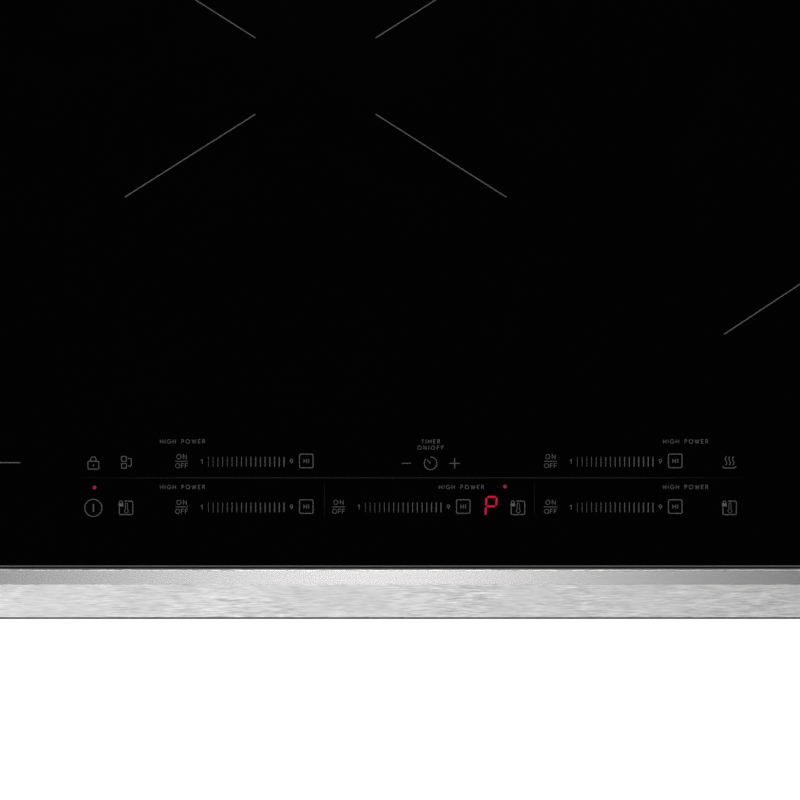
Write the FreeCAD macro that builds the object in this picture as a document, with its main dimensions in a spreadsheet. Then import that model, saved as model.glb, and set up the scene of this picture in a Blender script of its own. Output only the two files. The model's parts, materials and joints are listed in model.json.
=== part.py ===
import FreeCAD, Part
import math
import os
import re
import Sketcher

# Drop-in induction cooktop, 36 inch class. Millimetres. X to the right, -Y towards the user, +Z up.
# Z = 0 is the underside of the burner box feet, X = 0 and Y = 0 the middle of the plan outline.

SIZES = {
    # plan outline and glass
    "overall_width": 933, "front_edge": -273, "rear_edge": 273,
    "glass_front": -240.6, "glass_thick": 4, "glass_under": 93.6, "glass_corner": 6,
    "glass_bevel": 0.8,
    # folded front trim
    "sheet": 0.8, "trim_inner": -241.6, "trim_land": 10, "trim_top": 98, "trim_drop": 4.8,
    "trim_tab_end": -229, "worktop_level": 92, "cap_thick": 0.8,
    # gasket and glass frame
    "gasket_half": 460, "gasket_front": -242.4, "gasket_rear": 268, "gasket_thick": 0.8,
    "cutout_half": 434, "cutout_front": -236, "cutout_rear": 254,
    "frame_open_half": 419, "frame_open_front": -221, "frame_open_rear": 239,
    "frame_front": -228.8, "leg_bottom": 80, "leg_gap": 0.3,
    # burner box
    "upper_half": 426, "upper_front": -228, "upper_rear": 246, "box_top": 92.6,
    "lower_half": 400, "lower_front": -205, "lower_rear": 225, "floor_under": 3,
    "ledge_under": 48, "box_corner": 14, "foot_radius": 18,
    "rib_half": 6, "rib_deep": 1.5, "outlet_low": 9, "outlet_high": 8, "slot_width": 6,
    # coil tray and posts
    "tray_under": 64, "tray_thick": 1.5, "tray_half": 421, "tray_front": -223, "tray_rear": 241,
    "post_radius": 4, "pillar_radius": 5,
    # coils
    "centre_x": 0, "centre_y": 62.7, "centre_radius": 139.6,
    "right_front_x": 326.7, "right_front_y": -47.9, "right_front_radius": 88.9,
    "right_rear_x": 326.7, "right_rear_y": 133, "right_rear_radius": 76,
    "left_front_x": -298, "left_front_y": -81, "left_front_radius": 95,
    "left_rear_x": -298, "left_rear_y": 119, "left_rear_radius": 95,
    "carrier_under": 84, "carrier_plate": 2, "carrier_rim": 2, "carrier_rim_height": 6,
    "hub_radius": 17, "hub_bore": 14, "winding_inner": 22, "winding_under": 86.3,
    "winding_thick": 5.8, "turn_pitch": 5.2, "turn_groove": 1.1,
    "bar_length": 45, "bar_width": 12, "bar_thick": 5, "bar_start": 24, "bar_outer_start": 86,
    "disc_thick": 1.2, "sensor_radius": 5, "lead_radius": 1.8,
    # boards
    "board_under": 10, "board_thick": 1.6, "board_inner": 130, "board_outer": 380,
    "board_front": -120, "board_rear": 60, "filter_half": 90, "filter_front": -60, "filter_rear": 60,
    "sink_width": 90, "sink_length": 150, "sink_base": 5, "sink_height": 34, "fin_thick": 1.6,
    "sink_x": 215, "sink_front": -110, "sink_lift": 4,
    "transistor_half": 8, "transistor_long": 20, "capacitor_x": 288, "capacitor_half": 14,
    "capacitor_long": 40, "capacitor_high": 30, "smoothing_x": 150, "smoothing_radius": 12.5,
    "smoothing_high": 36, "choke_x": 340, "choke_y": 18, "choke_radius": 20, "choke_high": 24,
    "standoff_radius": 4, "standoff_inset": 8, "filter_ring": 17, "filter_wire": 7.5,
    # blowers
    "blower_x": 255, "blower_y": 150, "blower_under": 4.2, "blower_top": 42, "blower_radius": 62,
    "blower_wall": 1.6, "intake_radius": 38, "duct_half": 34, "duct_end": 76,
    "motor_radius": 16, "motor_under": 24, "spindle_radius": 2, "spindle_clearance": 0.05,
    "rotor_radius": 48, "blade_length": 6, "blade_thick": 1.4, "flange_under": 35.8, "flange_top": 37.4,
    "tie_low": 9, "tie_top": 11.5,
    # terminal compartment and conduit inlet
    "terminal_half": 62, "terminal_front": 128, "terminal_top": 46, "terminal_wall": 1.2,
    "access_half": 50, "access_front": 138, "access_rear": 212, "cover_margin": 7,
    "inlet_z": 16.5, "inlet_bore": 8, "inlet_radius": 10.2, "inlet_hex": 12.5, "inlet_end": 243,
    "terminal_under": 27, "terminal_well": 4.2, "terminal_port": 3.4, "terminal_row": 158,
    # touch controls
    "control_left": -150, "control_right": 268, "control_front": -216, "control_rear": -156,
    "touch_board_under": 90.4, "touch_row_back": -175.5, "touch_row_front": -203.7,
    "bench_wall": 2, "bench_drop": 6, "bench_leg": 4, "spring_radius": 2.6,
    "spring_high": 1.5, "light_radius": 1.3,
    "display_x": 108.8, "display_width": 11, "display_depth": 16,
    "light_left": -136.6, "light_right": 117.1, "light_row": -191.6,
    # hold-down clamps
    "clamp_x": 413, "clamp_front_y": -150, "clamp_rear_y": 170, "arm_under": 40, "arm_thick": 3,
    "arm_half": 8, "arm_reach": 38, "pivot_radius": 3, "pivot_clearance": 0.05, "pivot_head": 6,
    "clamp_screw_radius": 3, "clamp_head_under": 12, "clamp_head_high": 4.5, "clamp_pad_radius": 7,
    "clamp_pad_under": 44.5, "clamp_pad_high": 3, "bush_radius": 6.5, "bush_under": 38.8,
    # small screws
    "screw_radius": 1.6, "screw_hole": 1.9, "screw_head": 3.4, "screw_head_high": 2, "screw_z": 86,
}

COILS = ["centre", "right_front", "right_rear", "left_front", "left_rear"]
SIDES = {"left": -1, "right": 1}
LEAD_REACH = 0.45  # share of the shorter run that an arc of a lead takes up

doc = FreeCAD.newDocument("induction_cooktop")
sheet = doc.addObject("Spreadsheet::Sheet", "Sizes")
for row, (alias, value) in enumerate(SIZES.items(), 1):
    sheet.set(f"A{row}", alias)
    sheet.set(f"B{row}", str(value))
    sheet.setAlias(f"B{row}", alias)
doc.recompute()


def formula(text):
    """The expression with every size name pointing at its cell in the sheet."""
    return re.sub(r"[a-z_][a-z_0-9]*", lambda m: f"Sizes.{m[0]}" if m[0] in SIZES else m[0], str(text))


def bind(thing, **properties):
    """Tie properties such as Length or Radius to the sheet."""
    for name, text in properties.items():
        thing.setExpression(name, formula(text))


def place(thing, x=0, y=0, z=0, axis=None, turn=0):
    """Stand the thing's own Z along axis, turned about Z by turn degrees, at a point from the sheet."""
    rotation = FreeCAD.Rotation(FreeCAD.Vector(0, 0, 1), turn)
    if axis:
        rotation = FreeCAD.Rotation(FreeCAD.Vector(0, 0, 1), FreeCAD.Vector(*axis)) * rotation
    thing.Placement = FreeCAD.Placement(FreeCAD.Vector(0, 0, 0), rotation)
    thing.setExpression("Placement.Base.x", formula(x))
    thing.setExpression("Placement.Base.y", formula(y))
    thing.setExpression("Placement.Base.z", formula(z))
    return thing


def add(kind, name):
    return doc.addObject(kind, name)


def block(x, y, z, name="block"):
    """A box from three (low, high) pairs."""
    thing = add("Part::Box", name)
    bind(thing, Length=f"({x[1]}) - ({x[0]})", Width=f"({y[1]}) - ({y[0]})", Height=f"({z[1]}) - ({z[0]})")
    return place(thing, x[0], y[0], z[0])


def rod(x, y, z, radius, length, axis=None, name="rod"):
    thing = add("Part::Cylinder", name)
    bind(thing, Radius=radius, Height=length)
    return place(thing, x, y, z, axis)


def hexagon(x, y, z, radius, length, axis=None, name="hexagon"):
    thing = add("Part::Prism", name)
    thing.Polygon = 6
    bind(thing, Circumradius=radius, Height=length)
    return place(thing, x, y, z, axis)


def fuse(parts, name="fused"):
    thing = add("Part::MultiFuse", name)
    thing.Shapes = parts
    return thing


def cut(base, tools, name="trimmed"):
    thing = add("Part::Cut", name)
    thing.Base = base
    thing.Tool = tools[0] if len(tools) == 1 else group(tools, "tools")
    return thing


def group(parts, name="group"):
    thing = add("Part::Compound", name)
    thing.Links = parts
    return thing


def origin_part(body, role):
    return next(o for o in body.Origin.OriginFeatures if o.Role == role)


def sketch(body, loops, role="XY_Plane", level=None):
    """Closed outlines of straight lines, every corner held by two sizes from the sheet."""
    drawing = body.newObject("Sketcher::SketchObject", "Outline")
    drawing.AttachmentSupport = [(origin_part(body, role), "")]
    drawing.MapMode = "FlatFace"
    if level is not None:
        drawing.setExpression("AttachmentOffset.Base.z", formula(level))
    first = 0
    for points in loops:
        count = len(points)
        rough = [FreeCAD.Vector(*[evaluate(v) for v in point], 0) for point in points]
        for i in range(count):
            drawing.addGeometry(Part.LineSegment(rough[i], rough[(i + 1) % count]), False)
        for i in range(count):
            drawing.addConstraint(Sketcher.Constraint("Coincident", first + i, 2, first + (i + 1) % count, 1))
        for i, point in enumerate(points):
            for kind, text, value in zip(("DistanceX", "DistanceY"), point, rough[i]):
                k = drawing.addConstraint(Sketcher.Constraint(kind, -1, 1, first + i, 1, value))
                drawing.setExpression(f"Constraints[{k}]", formula(text))
        first += count
    return drawing


def evaluate(text):
    """The present value of a size expression, as a starting point for a sketch corner."""
    names = {alias: float(value) for alias, value in SIZES.items()}
    total = 0.0
    for sign, term in re.findall(r"([+-]?)\s*([^+-]+)", str(text)):
        value = 1.0
        for factor in term.split("*"):
            over = factor.strip().split("/")
            value *= names[over[0].strip()] if over[0].strip() in names else float(over[0])
            for divisor in over[1:]:
                value /= names[divisor.strip()] if divisor.strip() in names else float(divisor)
        total += -value if sign == "-" else value
    return total


def rectangle(x0, x1, y0, y1):
    return [(x0, y0), (x1, y0), (x1, y1), (x0, y1)]


def pad(body, drawing, length, both_ways=False):
    feature = body.newObject("PartDesign::Pad", "Pad")
    feature.Profile = drawing
    bind(feature, Length=length)
    feature.Midplane = both_ways
    return feature


def pocket(body, drawing, length, both_ways=False):
    feature = body.newObject("PartDesign::Pocket", "Pocket")
    feature.Profile = drawing
    bind(feature, Length=length)
    feature.Midplane = both_ways
    return feature


def revolve(body, drawing):
    feature = body.newObject("PartDesign::Revolution", "Revolution")
    feature.Profile = drawing
    feature.ReferenceAxis = (drawing, ["V_Axis"])
    feature.Angle = 360
    return feature


def row_of(body, feature, role, length, count):
    """Repeat a feature in a straight row along an origin axis."""
    pattern = body.newObject("PartDesign::LinearPattern", "Row")
    pattern.Originals = [feature]
    pattern.Direction = (origin_part(body, role), [""])
    bind(pattern, Length=length)
    pattern.Occurrences = count
    body.Tip = pattern
    return pattern


def ring_of(body, feature, count):
    """Repeat a feature in a full circle about Z."""
    pattern = body.newObject("PartDesign::PolarPattern", "Ring")
    pattern.Originals = [feature]
    pattern.Axis = (origin_part(body, "Z_Axis"), [""])
    pattern.Angle = 360
    pattern.Occurrences = count
    body.Tip = pattern
    return pattern


def round_edges(body, feature, chosen, radius, kind="Fillet"):
    """Round or bevel the edges for which chosen(edge) is true."""
    doc.recompute()
    names = [f"Edge{i}" for i, edge in enumerate(feature.Shape.Edges, 1) if chosen(edge)]
    rounding = body.newObject(f"PartDesign::{kind}", kind)
    rounding.Base = (feature, names)
    bind(rounding, **{"Radius" if kind == "Fillet" else "Size": radius})
    return rounding


def upright(edge):
    low, high = edge.BoundBox.ZMin, edge.BoundBox.ZMax
    return high - low > 1 and edge.BoundBox.XLength < 0.01 and edge.BoundBox.YLength < 0.01


def screw(x, y, z, axis, length):
    """A pan-head screw with its head outside the point and its shank along axis."""
    back = tuple(-v for v in axis)
    head = rod(x, y, z, "screw_head", "screw_head_high", back)
    recess_z = [f"({p}) + ({b})*screw_head_high" for p, b in zip((x, y, z), back)]
    recess = hexagon(*recess_z, "screw_radius", "screw_head_high/2", axis)
    return fuse([cut(head, [recess]), rod(x, y, z, "screw_radius", length, axis)])


def lead(route):
    """A round insulated wire along straight runs joined by tangent arcs."""
    points = [FreeCAD.Vector(*p) for p in route]
    edges = []
    last = points[0]
    for before, corner, after in zip(points, points[1:], points[2:]):
        back, ahead = before - corner, after - corner
        reach = LEAD_REACH * min(back.Length, ahead.Length)
        turn = math.pi - back.getAngle(ahead)
        start = corner + back.normalize() * reach
        end = corner + ahead.normalize() * reach
        middle_way = (back + ahead).normalize()
        radius = reach / math.tan(turn / 2)
        middle = corner + middle_way * (radius / math.cos(turn / 2) - radius)
        edges += [Part.LineSegment(last, start).toShape(), Part.Arc(start, middle, end).toShape()]
        last = end
    edges.append(Part.LineSegment(last, points[-1]).toShape())
    section = Part.makeCircle(SIZES["lead_radius"], points[0], points[1] - points[0])
    wire = add("Part::Feature", "lead")
    wire.Shape = Part.Wire(edges).makePipe(Part.Face(Part.Wire(section)))
    return wire


nodes = {}


def keep(label, thing):
    """Name a finished piece; its label is also its file name."""
    thing.Label = label
    nodes[label] = thing
    return thing


# ---- glass ------------------------------------------------------------------------------------
half_width = "overall_width/2"
glass = add("PartDesign::Body", "Glass")
plate = pad(glass, sketch(glass, [rectangle("-" + half_width, half_width, "glass_front", "rear_edge")],
                          level="glass_under"), "glass_thick")
rounded = round_edges(glass, plate, lambda e: upright(e) and e.BoundBox.YMax > 0, "glass_corner")
top_level = SIZES["glass_under"] + SIZES["glass_thick"]
round_edges(glass, rounded, lambda e: e.BoundBox.ZMin > top_level - 0.01, "glass_bevel", "Chamfer")
keep("glass_top", glass)


# ---- front trim -------------------------------------------------------------------------------
# Section of the folded sheet, (Y, Z): tab under the glass, upstand, flat land, slope and front lip.
land_end = "trim_inner - trim_land"
slope_low = "trim_top - trim_drop"
TRIM_SECTION = [
    ("trim_tab_end", "glass_under - sheet"), ("trim_tab_end", "glass_under"),
    ("trim_inner", "glass_under"), ("trim_inner", "trim_top"), (land_end, "trim_top"),
    ("front_edge", slope_low), ("front_edge", "worktop_level"),
    ("front_edge + sheet", "worktop_level"), ("front_edge + sheet", slope_low + " - 0.8*sheet"),
    (land_end + " + 0.1*sheet", "trim_top - sheet"), ("trim_inner - sheet", "trim_top - sheet"),
    ("trim_inner - sheet", "glass_under - sheet"),
]
trim = add("PartDesign::Body", "Trim")
folded = pad(trim, sketch(trim, [TRIM_SECTION], "YZ_Plane"), "overall_width - 2*cap_thick", True)


def inner_top_fold(edge):
    box = edge.BoundBox
    return box.XLength > 100 and box.ZMin > SIZES["trim_top"] - 0.01 and box.YMin > SIZES["trim_inner"] - 0.01


round_edges(trim, folded, inner_top_fold, "0.6*sheet")
keep("front_trim", trim)

CAP_SECTION = [("trim_inner", "worktop_level"), ("trim_inner", "trim_top"), (land_end, "trim_top"),
               ("front_edge", slope_low), ("front_edge", "worktop_level")]
caps = []
for side in SIDES.values():
    cap = add("PartDesign::Body", "Cap")
    pad(cap, sketch(cap, [CAP_SECTION], "YZ_Plane"), "cap_thick")
    place(cap, f"{side}*(overall_width - cap_thick)/2 - cap_thick/2")
    caps.append(cap)
keep("trim_end_caps", group(caps))

FILLER_SECTION = [("trim_inner - 2*sheet", "worktop_level"),
                  ("trim_inner - 2*sheet", "trim_top - 1.3*sheet"),
                  (land_end, "trim_top - 1.3*sheet"),
                  ("front_edge + 3*sheet", "trim_top - trim_drop - 0.6*sheet"),
                  ("front_edge + 3*sheet", "worktop_level")]
filler = add("PartDesign::Body", "Filler")
pad(filler, sketch(filler, [FILLER_SECTION], "YZ_Plane"), "overall_width - 4*cap_thick", True)
keep("trim_support", filler)

keep("trim_seal", block(("-overall_width/2 + 2*cap_thick", "overall_width/2 - 2*cap_thick"),
                        ("trim_inner", "glass_front"), ("glass_under", "glass_under + 0.85*glass_thick")))

# ---- gasket and glass frame -------------------------------------------------------------------
gasket = add("PartDesign::Body", "Gasket")
pad(gasket, sketch(gasket, [rectangle("-gasket_half", "gasket_half", "gasket_front", "gasket_rear"),
                            rectangle("-cutout_half", "cutout_half", "cutout_front", "cutout_rear")],
                   level="worktop_level"), "gasket_thick")
keep("worktop_gasket", gasket)

frame_body = add("PartDesign::Body", "Frame")
pad(frame_body, sketch(frame_body, [
    rectangle("-gasket_half", "gasket_half", "frame_front", "gasket_rear"),
    rectangle("-frame_open_half", "frame_open_half", "frame_open_front", "frame_open_rear")],
    level="glass_under - sheet"), "sheet")
leg_half = "upper_half - sheet - leg_gap"
leg_front = "upper_front + sheet + leg_gap"
leg_rear = "upper_rear - sheet - leg_gap"
leg = pad(frame_body, sketch(frame_body, [
    rectangle("-upper_half + sheet + leg_gap", leg_half, leg_front, leg_rear),
    rectangle("-upper_half + 2*sheet + leg_gap", leg_half + " - sheet", leg_front + " + sheet",
              leg_rear + " - sheet")],
    level="leg_bottom"), "glass_under - sheet - leg_bottom")
leg_outside = SIZES["upper_half"] - 1.5 * SIZES["sheet"] - SIZES["leg_gap"]


def leg_corner(edge, outer):
    """Whether this is an upright corner of the leg, on its outer or its inner side."""
    low = abs(edge.BoundBox.ZMin - SIZES["leg_bottom"]) < 0.01
    return upright(edge) and low and (abs(edge.BoundBox.XMin) > leg_outside) == outer


leg = round_edges(frame_body, leg, lambda e: leg_corner(e, True), "box_corner")
round_edges(frame_body, leg, lambda e: leg_corner(e, False), "box_corner - sheet")

# screws through the burner box walls into the legs of the glass frame
SCREW_POINTS = [(f"{side}*upper_half", y, (-side, 0, 0)) for side in (-1, 1) for y in (-160, 20, 205)]
SCREW_POINTS += [(x, "upper_front", (0, 1, 0)) for x in (-300, -100, 100, 300)]
SCREW_POINTS += [(x, "upper_rear", (0, -1, 0)) for x in (-300, -100, 100, 300)]
wall_screws = []
wall_holes = []
for x, y, inward in SCREW_POINTS:
    wall_screws.append(screw(x, y, "screw_z", inward, 8))
    start = [f"({p}) - 2*({v})" for p, v in zip((x, y, "screw_z"), inward)]
    wall_holes.append(rod(*start, "screw_hole", 8, inward))
keep("glass_frame", cut(frame_body, wall_holes))
keep("frame_screws", group(wall_screws))

# ---- burner box -------------------------------------------------------------------------------
pan = add("PartDesign::Body", "Pan")
pad(pan, sketch(pan, [rectangle("-lower_half", "lower_half", "lower_front", "lower_rear")],
                level="floor_under"), "ledge_under - floor_under")
upper = pad(pan, sketch(pan, [rectangle("-upper_half", "upper_half", "upper_front", "upper_rear")],
                        level="ledge_under"), "box_top - ledge_under")
rounded = round_edges(pan, upper, upright, "box_corner")
doc.recompute()
open_top = [f"Face{i}" for i, face in enumerate(rounded.Shape.Faces, 1)
            if face.BoundBox.ZMin > SIZES["box_top"] - 0.01]
shell = pan.newObject("PartDesign::Thickness", "Shell")
shell.Base = (rounded, open_top)
bind(shell, Value="sheet")
shell.Reversed = True
shell.Join = 1
doc.recompute()


def slot_row(x0, x1, y0, y1, z0, z1, role, length, count):
    """A row of equal slots cut through the sheet between two levels."""
    drawing = sketch(pan, [rectangle(x0, x1, y0, y1)], level=z0)
    first = pocket(pan, drawing, f"({z1}) - ({z0})")
    first.Reversed = True
    return row_of(pan, first, role, length, count)


# intake slots under each blower and outlet slots in the front and rear walls of the lower box
for side in SIDES.values():
    slot_row(f"{side}*blower_x - 36", f"{side}*blower_x - 32", "blower_y - 32", "blower_y + 32",
             "floor_under - 1", "floor_under + 2*sheet", "X_Axis", 68, 9)
    slot_row(f"{side}*250 - 110", f"{side}*250 - 110 + slot_width", "lower_front - 2", "lower_front + 4",
             "floor_under + outlet_low", "ledge_under - outlet_high", "X_Axis", 210, 16)
for first_x in (-370, 160):
    slot_row(first_x, f"{first_x} + slot_width", "lower_rear - 4", "lower_rear + 2",
             "floor_under + outlet_low", "ledge_under - outlet_high", "X_Axis", 196, 15)

feet = []
foot_wells = []
for side in (-1, 1):
    for y in ("lower_front + 35", "lower_rear - 35"):
        x = f"{side}*(lower_half - 35)"
        feet.append(rod(x, y, 0, "foot_radius", "floor_under + sheet"))
        foot_wells.append(rod(x, y, "sheet", "foot_radius - sheet", "floor_under + sheet"))

# stiffening ribs pressed up into the floor: (first X, last X, Y)
RIBS = [(-90, 90, -165), (-90, 90, -100)]
for y in (-165, -100, -35, 30):
    RIBS += [(-360, -150, y), (150, 360, y)]


def rib(x0, x1, y, half, low, high):
    """A bar with round ends along X between two levels."""
    return [block((x0, x1), (f"{y} - ({half})", f"{y} + {half}"), (low, high)),
            rod(x0, y, low, half, f"({high}) - ({low})"), rod(x1, y, low, half, f"({high}) - ({low})")]


rib_backs = []
rib_grooves = []
for x0, x1, y in RIBS:
    rib_backs += rib(x0, x1, y, "rib_half + sheet", "floor_under + sheet/2", "floor_under + rib_deep + sheet")
    rib_grooves += rib(x0, x1, y, "rib_half", "floor_under - 1", "floor_under + rib_deep")

pivot_points = [(f"{side}*clamp_x", y) for side in (-1, 1) for y in ("clamp_front_y", "clamp_rear_y")]
pivot_holes = [rod(x, y, "ledge_under - 1", "pivot_radius + 0.3", 4) for x, y in pivot_points]
access = block(("-access_half", "access_half"), ("access_front", "access_rear"), (1, 6))
inlet_hole = rod(0, "lower_rear - 4", "inlet_z", "inlet_radius + 0.3", 8, (0, 1, 0))
cover_points = [(f"{side}*(access_half + 3.5)", y) for side in (-1, 1)
                for y in ("access_front + 6", "access_rear - 6")]
cover_holes = [rod(x, y, "floor_under - 2", "screw_hole", 5) for x, y in cover_points]
keep("burner_box", cut(fuse([pan] + feet + rib_backs),
                       rib_grooves + wall_holes + foot_wells + pivot_holes + cover_holes
                       + [access, inlet_hole]))

# ---- terminal compartment ---------------------------------------------------------------------
cover_plate = block(("-access_half - cover_margin", "access_half + cover_margin"),
                    ("access_front - cover_margin", "access_rear + cover_margin"),
                    ("floor_under - sheet", "floor_under"))
keep("terminal_cover", cut(cover_plate, cover_holes))
keep("cover_screws", group([screw(x, y, "floor_under - sheet", (0, 0, 1), 5) for x, y in cover_points]))

floor_top = "floor_under + sheet"
hood = block(("-terminal_half", "terminal_half"), ("terminal_front", "lower_rear - sheet - 0.1"),
             (floor_top, "terminal_top"))
hood_space = block(("-terminal_half + terminal_wall", "terminal_half - terminal_wall"),
                   ("terminal_front + terminal_wall", "lower_rear + 5"),
                   ("floor_under - 2", "terminal_top - terminal_wall"))
lead_gap = block((-14, 14), ("terminal_front - 2", "terminal_front + 4"), (25, 37))
keep("terminal_box", cut(hood, [hood_space, lead_gap]))

TERMINALS = (-24, -8, 8, 24)
terminal_body = block((-36, 36), ("terminal_row - 8", "terminal_row + 24"),
                      ("terminal_under", "terminal_top - terminal_wall"))
clamp_wells = [rod(x, "terminal_row", "terminal_under - 1", "terminal_well", 8) for x in TERMINALS]
wire_ports = [rod(x, "terminal_row + 25", "terminal_under + 11", "terminal_port", 14, (0, -1, 0))
              for x in TERMINALS]
keep("terminal_block", cut(terminal_body, clamp_wells + wire_ports))

gland = fuse([rod(0, "lower_rear - 7", "inlet_z", "inlet_radius", "inlet_end - lower_rear + 7", (0, 1, 0)),
              hexagon(0, "lower_rear + 0.1", "inlet_z", "inlet_hex", 6, (0, 1, 0))])
keep("inlet_fitting", cut(gland, [rod(0, "lower_rear - 9", "inlet_z", "inlet_bore", 40, (0, 1, 0))]))
nut = hexagon(0, "lower_rear - sheet - 4.2", "inlet_z", "inlet_hex", 4, (0, 1, 0))
keep("inlet_nut", cut(nut, [rod(0, "lower_rear - 8", "inlet_z", "inlet_radius + 0.3", 12, (0, 1, 0))]))

# ---- coil tray --------------------------------------------------------------------------------
tray_top = "tray_under + tray_thick"
tray_plate = block(("-tray_half", "tray_half"), ("tray_front", "tray_rear"), ("tray_under", tray_top))
# leads of each coil: (start on a power board, hole in the tray near the coil hub)
LEADS = {"centre": ((141, 40), (92, 40)), "right_front": ((359, -34), (359, -34)),
         "right_rear": ((357, 48), (357, 120)), "left_front": ((-330, -94), (-330, -94)),
         "left_rear": ((-340, 48), (-340, 108))}
LEAD_STEPS = {coil: (0, 6) if coil == "centre" else (6, 0) for coil in COILS}
tray_holes = [rod(LEADS[coil][1][0] + step[0] / 2, LEADS[coil][1][1] + step[1] / 2, "tray_under - 1", 8, 4)
              for coil, step in LEAD_STEPS.items()]
air_slots = [block((x, x + 60), (y, y + 5), ("tray_under - 1", "tray_under + 3"))
             for x in (-220, 160) for y in range(-205, -120, 12)]
keep("coil_tray", cut(tray_plate, tray_holes + air_slots))

posts = []
for x in (-413, 413):
    for y in (-195, -70, 60, 225):
        posts.append(rod(x, y, "ledge_under + sheet", "post_radius", "tray_under - ledge_under - sheet"))
for x in (-110, 110):
    for y in (-150, 100):
        posts.append(rod(x, y, floor_top, "pillar_radius", "tray_under - floor_under - sheet"))
keep("tray_posts", group(posts))

# ---- coils ------------------------------------------------------------------------------------
ferrites = []
discs = []
sensors = []
leads = []
for coil in COILS:
    cx, cy, radius = f"{coil}_x", f"{coil}_y", f"{coil}_radius"
    outer = f"{radius} + carrier_rim"
    drum = rod(cx, cy, "carrier_under", outer, "carrier_rim_height")
    well = rod(cx, cy, "carrier_under + carrier_plate", radius, "carrier_rim_height")
    hub = rod(cx, cy, tray_top, "hub_radius", "carrier_under - tray_under - tray_thick")
    foot_ring = 78 if coil == "centre" else 56
    feet = []
    for k in range(4):
        angle = math.radians(22.5 + 90 * k)
        feet.append(rod(f"{cx} + {foot_ring * math.cos(angle)}", f"{cy} + {foot_ring * math.sin(angle)}",
                        tray_top, 5, "carrier_under - tray_under - tray_thick"))
    bore = rod(cx, cy, "tray_under", "hub_bore", 40)
    (sx, sy), (hx, hy) = LEADS[coil]
    step_x, step_y = LEAD_STEPS[coil]
    lead_hole = block((hx - 4, hx + step_x + 4), (hy - 4, hy + step_y + 4),
                      ("carrier_under - 1", "carrier_under + carrier_plate + 1"))
    keep(f"coil_carrier_{coil}", cut(fuse([cut(drum, [well]), hub] + feet), [bore, lead_hole]))

    ring = cut(rod(cx, cy, "winding_under", f"{radius} - 1.5", "winding_thick"),
               [rod(cx, cy, "winding_under - 1", "winding_inner", "winding_thick + 2")])
    turns = int((SIZES[radius] - 1.5 - SIZES["winding_inner"]) / SIZES["turn_pitch"])
    grooves = []
    for k in range(1, turns + 1):
        groove = add("Part::Torus", "groove")
        bind(groove, Radius1=f"winding_inner + {k}*turn_pitch", Radius2="turn_groove")
        grooves.append(place(groove, cx, cy, "winding_under + winding_thick"))
    keep(f"coil_winding_{coil}", cut(ring, grooves))

    rows = [(8, "bar_start")] + ([(12, "bar_outer_start")] if coil == "centre" else [])
    for count, start in rows:
        for k in range(count):
            angle = 360 / count * k
            along, across = math.cos(math.radians(angle)), math.sin(math.radians(angle))
            bar = add("Part::Box", "bar")
            bind(bar, Length="bar_length", Width="bar_width", Height="bar_thick")
            place(bar, f"{cx} + {start}*{along:.6f} + bar_width/2*{across:.6f}",
                  f"{cy} + {start}*{across:.6f} - bar_width/2*{along:.6f}",
                  "carrier_under - bar_thick - 0.1", turn=angle)
            ferrites.append(bar)
    disc = rod(cx, cy, "glass_under - disc_thick", radius, "disc_thick")
    discs.append(cut(disc, [rod(cx, cy, "glass_under - 3", "sensor_radius + 3", 4)]))
    sensors.append(rod(cx, cy, tray_top, "sensor_radius", "glass_under - 0.1 - tray_under - tray_thick"))

    # a pair of leads from the power board up through the tray to the winding
    for shift_x, shift_y in ((0, 0), (step_x, step_y)):
        top = SIZES["winding_under"] - 0.3
        foot = SIZES["board_under"] + SIZES["board_thick"]
        route = [(sx + shift_x, sy + shift_y, foot), (hx + shift_x, hy + shift_y, top)]
        if (sx, sy) != (hx, hy):
            route[1:1] = [(sx + shift_x, sy + shift_y, 36), (hx + shift_x, hy + shift_y, 58)]
        leads.append(lead(route))

keep("ferrite_bars", group(ferrites))
keep("insulation_discs", group(discs))
keep("coil_sensors", group(sensors))

for x in (-7, 0, 7):
    leads.append(lead([(x, 150, 31), (x, 52, 31), (x, 52, 11.6)]))
keep("internal_leads", group(leads))

# ---- power boards, heat sinks and filter ------------------------------------------------------
board_top = "board_under + board_thick"
standoffs = []
for name, side in SIDES.items():
    low, high = ("-board_outer", "-board_inner") if side < 0 else ("board_inner", "board_outer")
    keep(f"power_board_{name}", block((low, high), ("board_front", "board_rear"), ("board_under", board_top)))
    for x in (low, high):
        inset = "+ standoff_inset" if x == low else "- standoff_inset"
        for y in ("board_front + standoff_inset", "board_rear - standoff_inset"):
            standoffs.append(rod(f"{x} {inset}", y, floor_top, "standoff_radius",
                                 f"board_under - ({floor_top})"))

    sink = add("PartDesign::Body", "Sink")
    pad(sink, sketch(sink, [rectangle("-sink_width/2", "sink_width/2", 0, "sink_length")]), "sink_base")
    fin = pad(sink, sketch(sink, [rectangle("-sink_width/2", "-sink_width/2 + fin_thick", 0, "sink_length")],
                           level="sink_base"), "sink_height - sink_base")
    row_of(sink, fin, "X_Axis", "sink_width - fin_thick", 12)
    keep(f"heat_sink_{name}", place(sink, f"{side}*sink_x", "sink_front", board_top + " + sink_lift"))

    # transistors lie flat under the heat sink, resonance capacitors stand beside it
    parts = []
    for y in (-85, -55, -25, 5):
        parts.append(block((f"{side}*sink_x - transistor_half", f"{side}*sink_x + transistor_half"),
                           (y, f"{y} + transistor_long"), (board_top, board_top + " + sink_lift")))
    for y in (-108, -58, -8):
        parts.append(block((f"{side}*capacitor_x - capacitor_half", f"{side}*capacitor_x + capacitor_half"),
                           (y, f"{y} + capacitor_long"), (board_top, board_top + " + capacitor_high")))
    for y in (-95, -55):
        parts.append(rod(f"{side}*smoothing_x", y, board_top, "smoothing_radius", "smoothing_high"))
    parts.append(rod(f"{side}*choke_x", "choke_y", board_top, "choke_radius", "choke_high"))
    keep(f"board_parts_{name}", group(parts))

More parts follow.
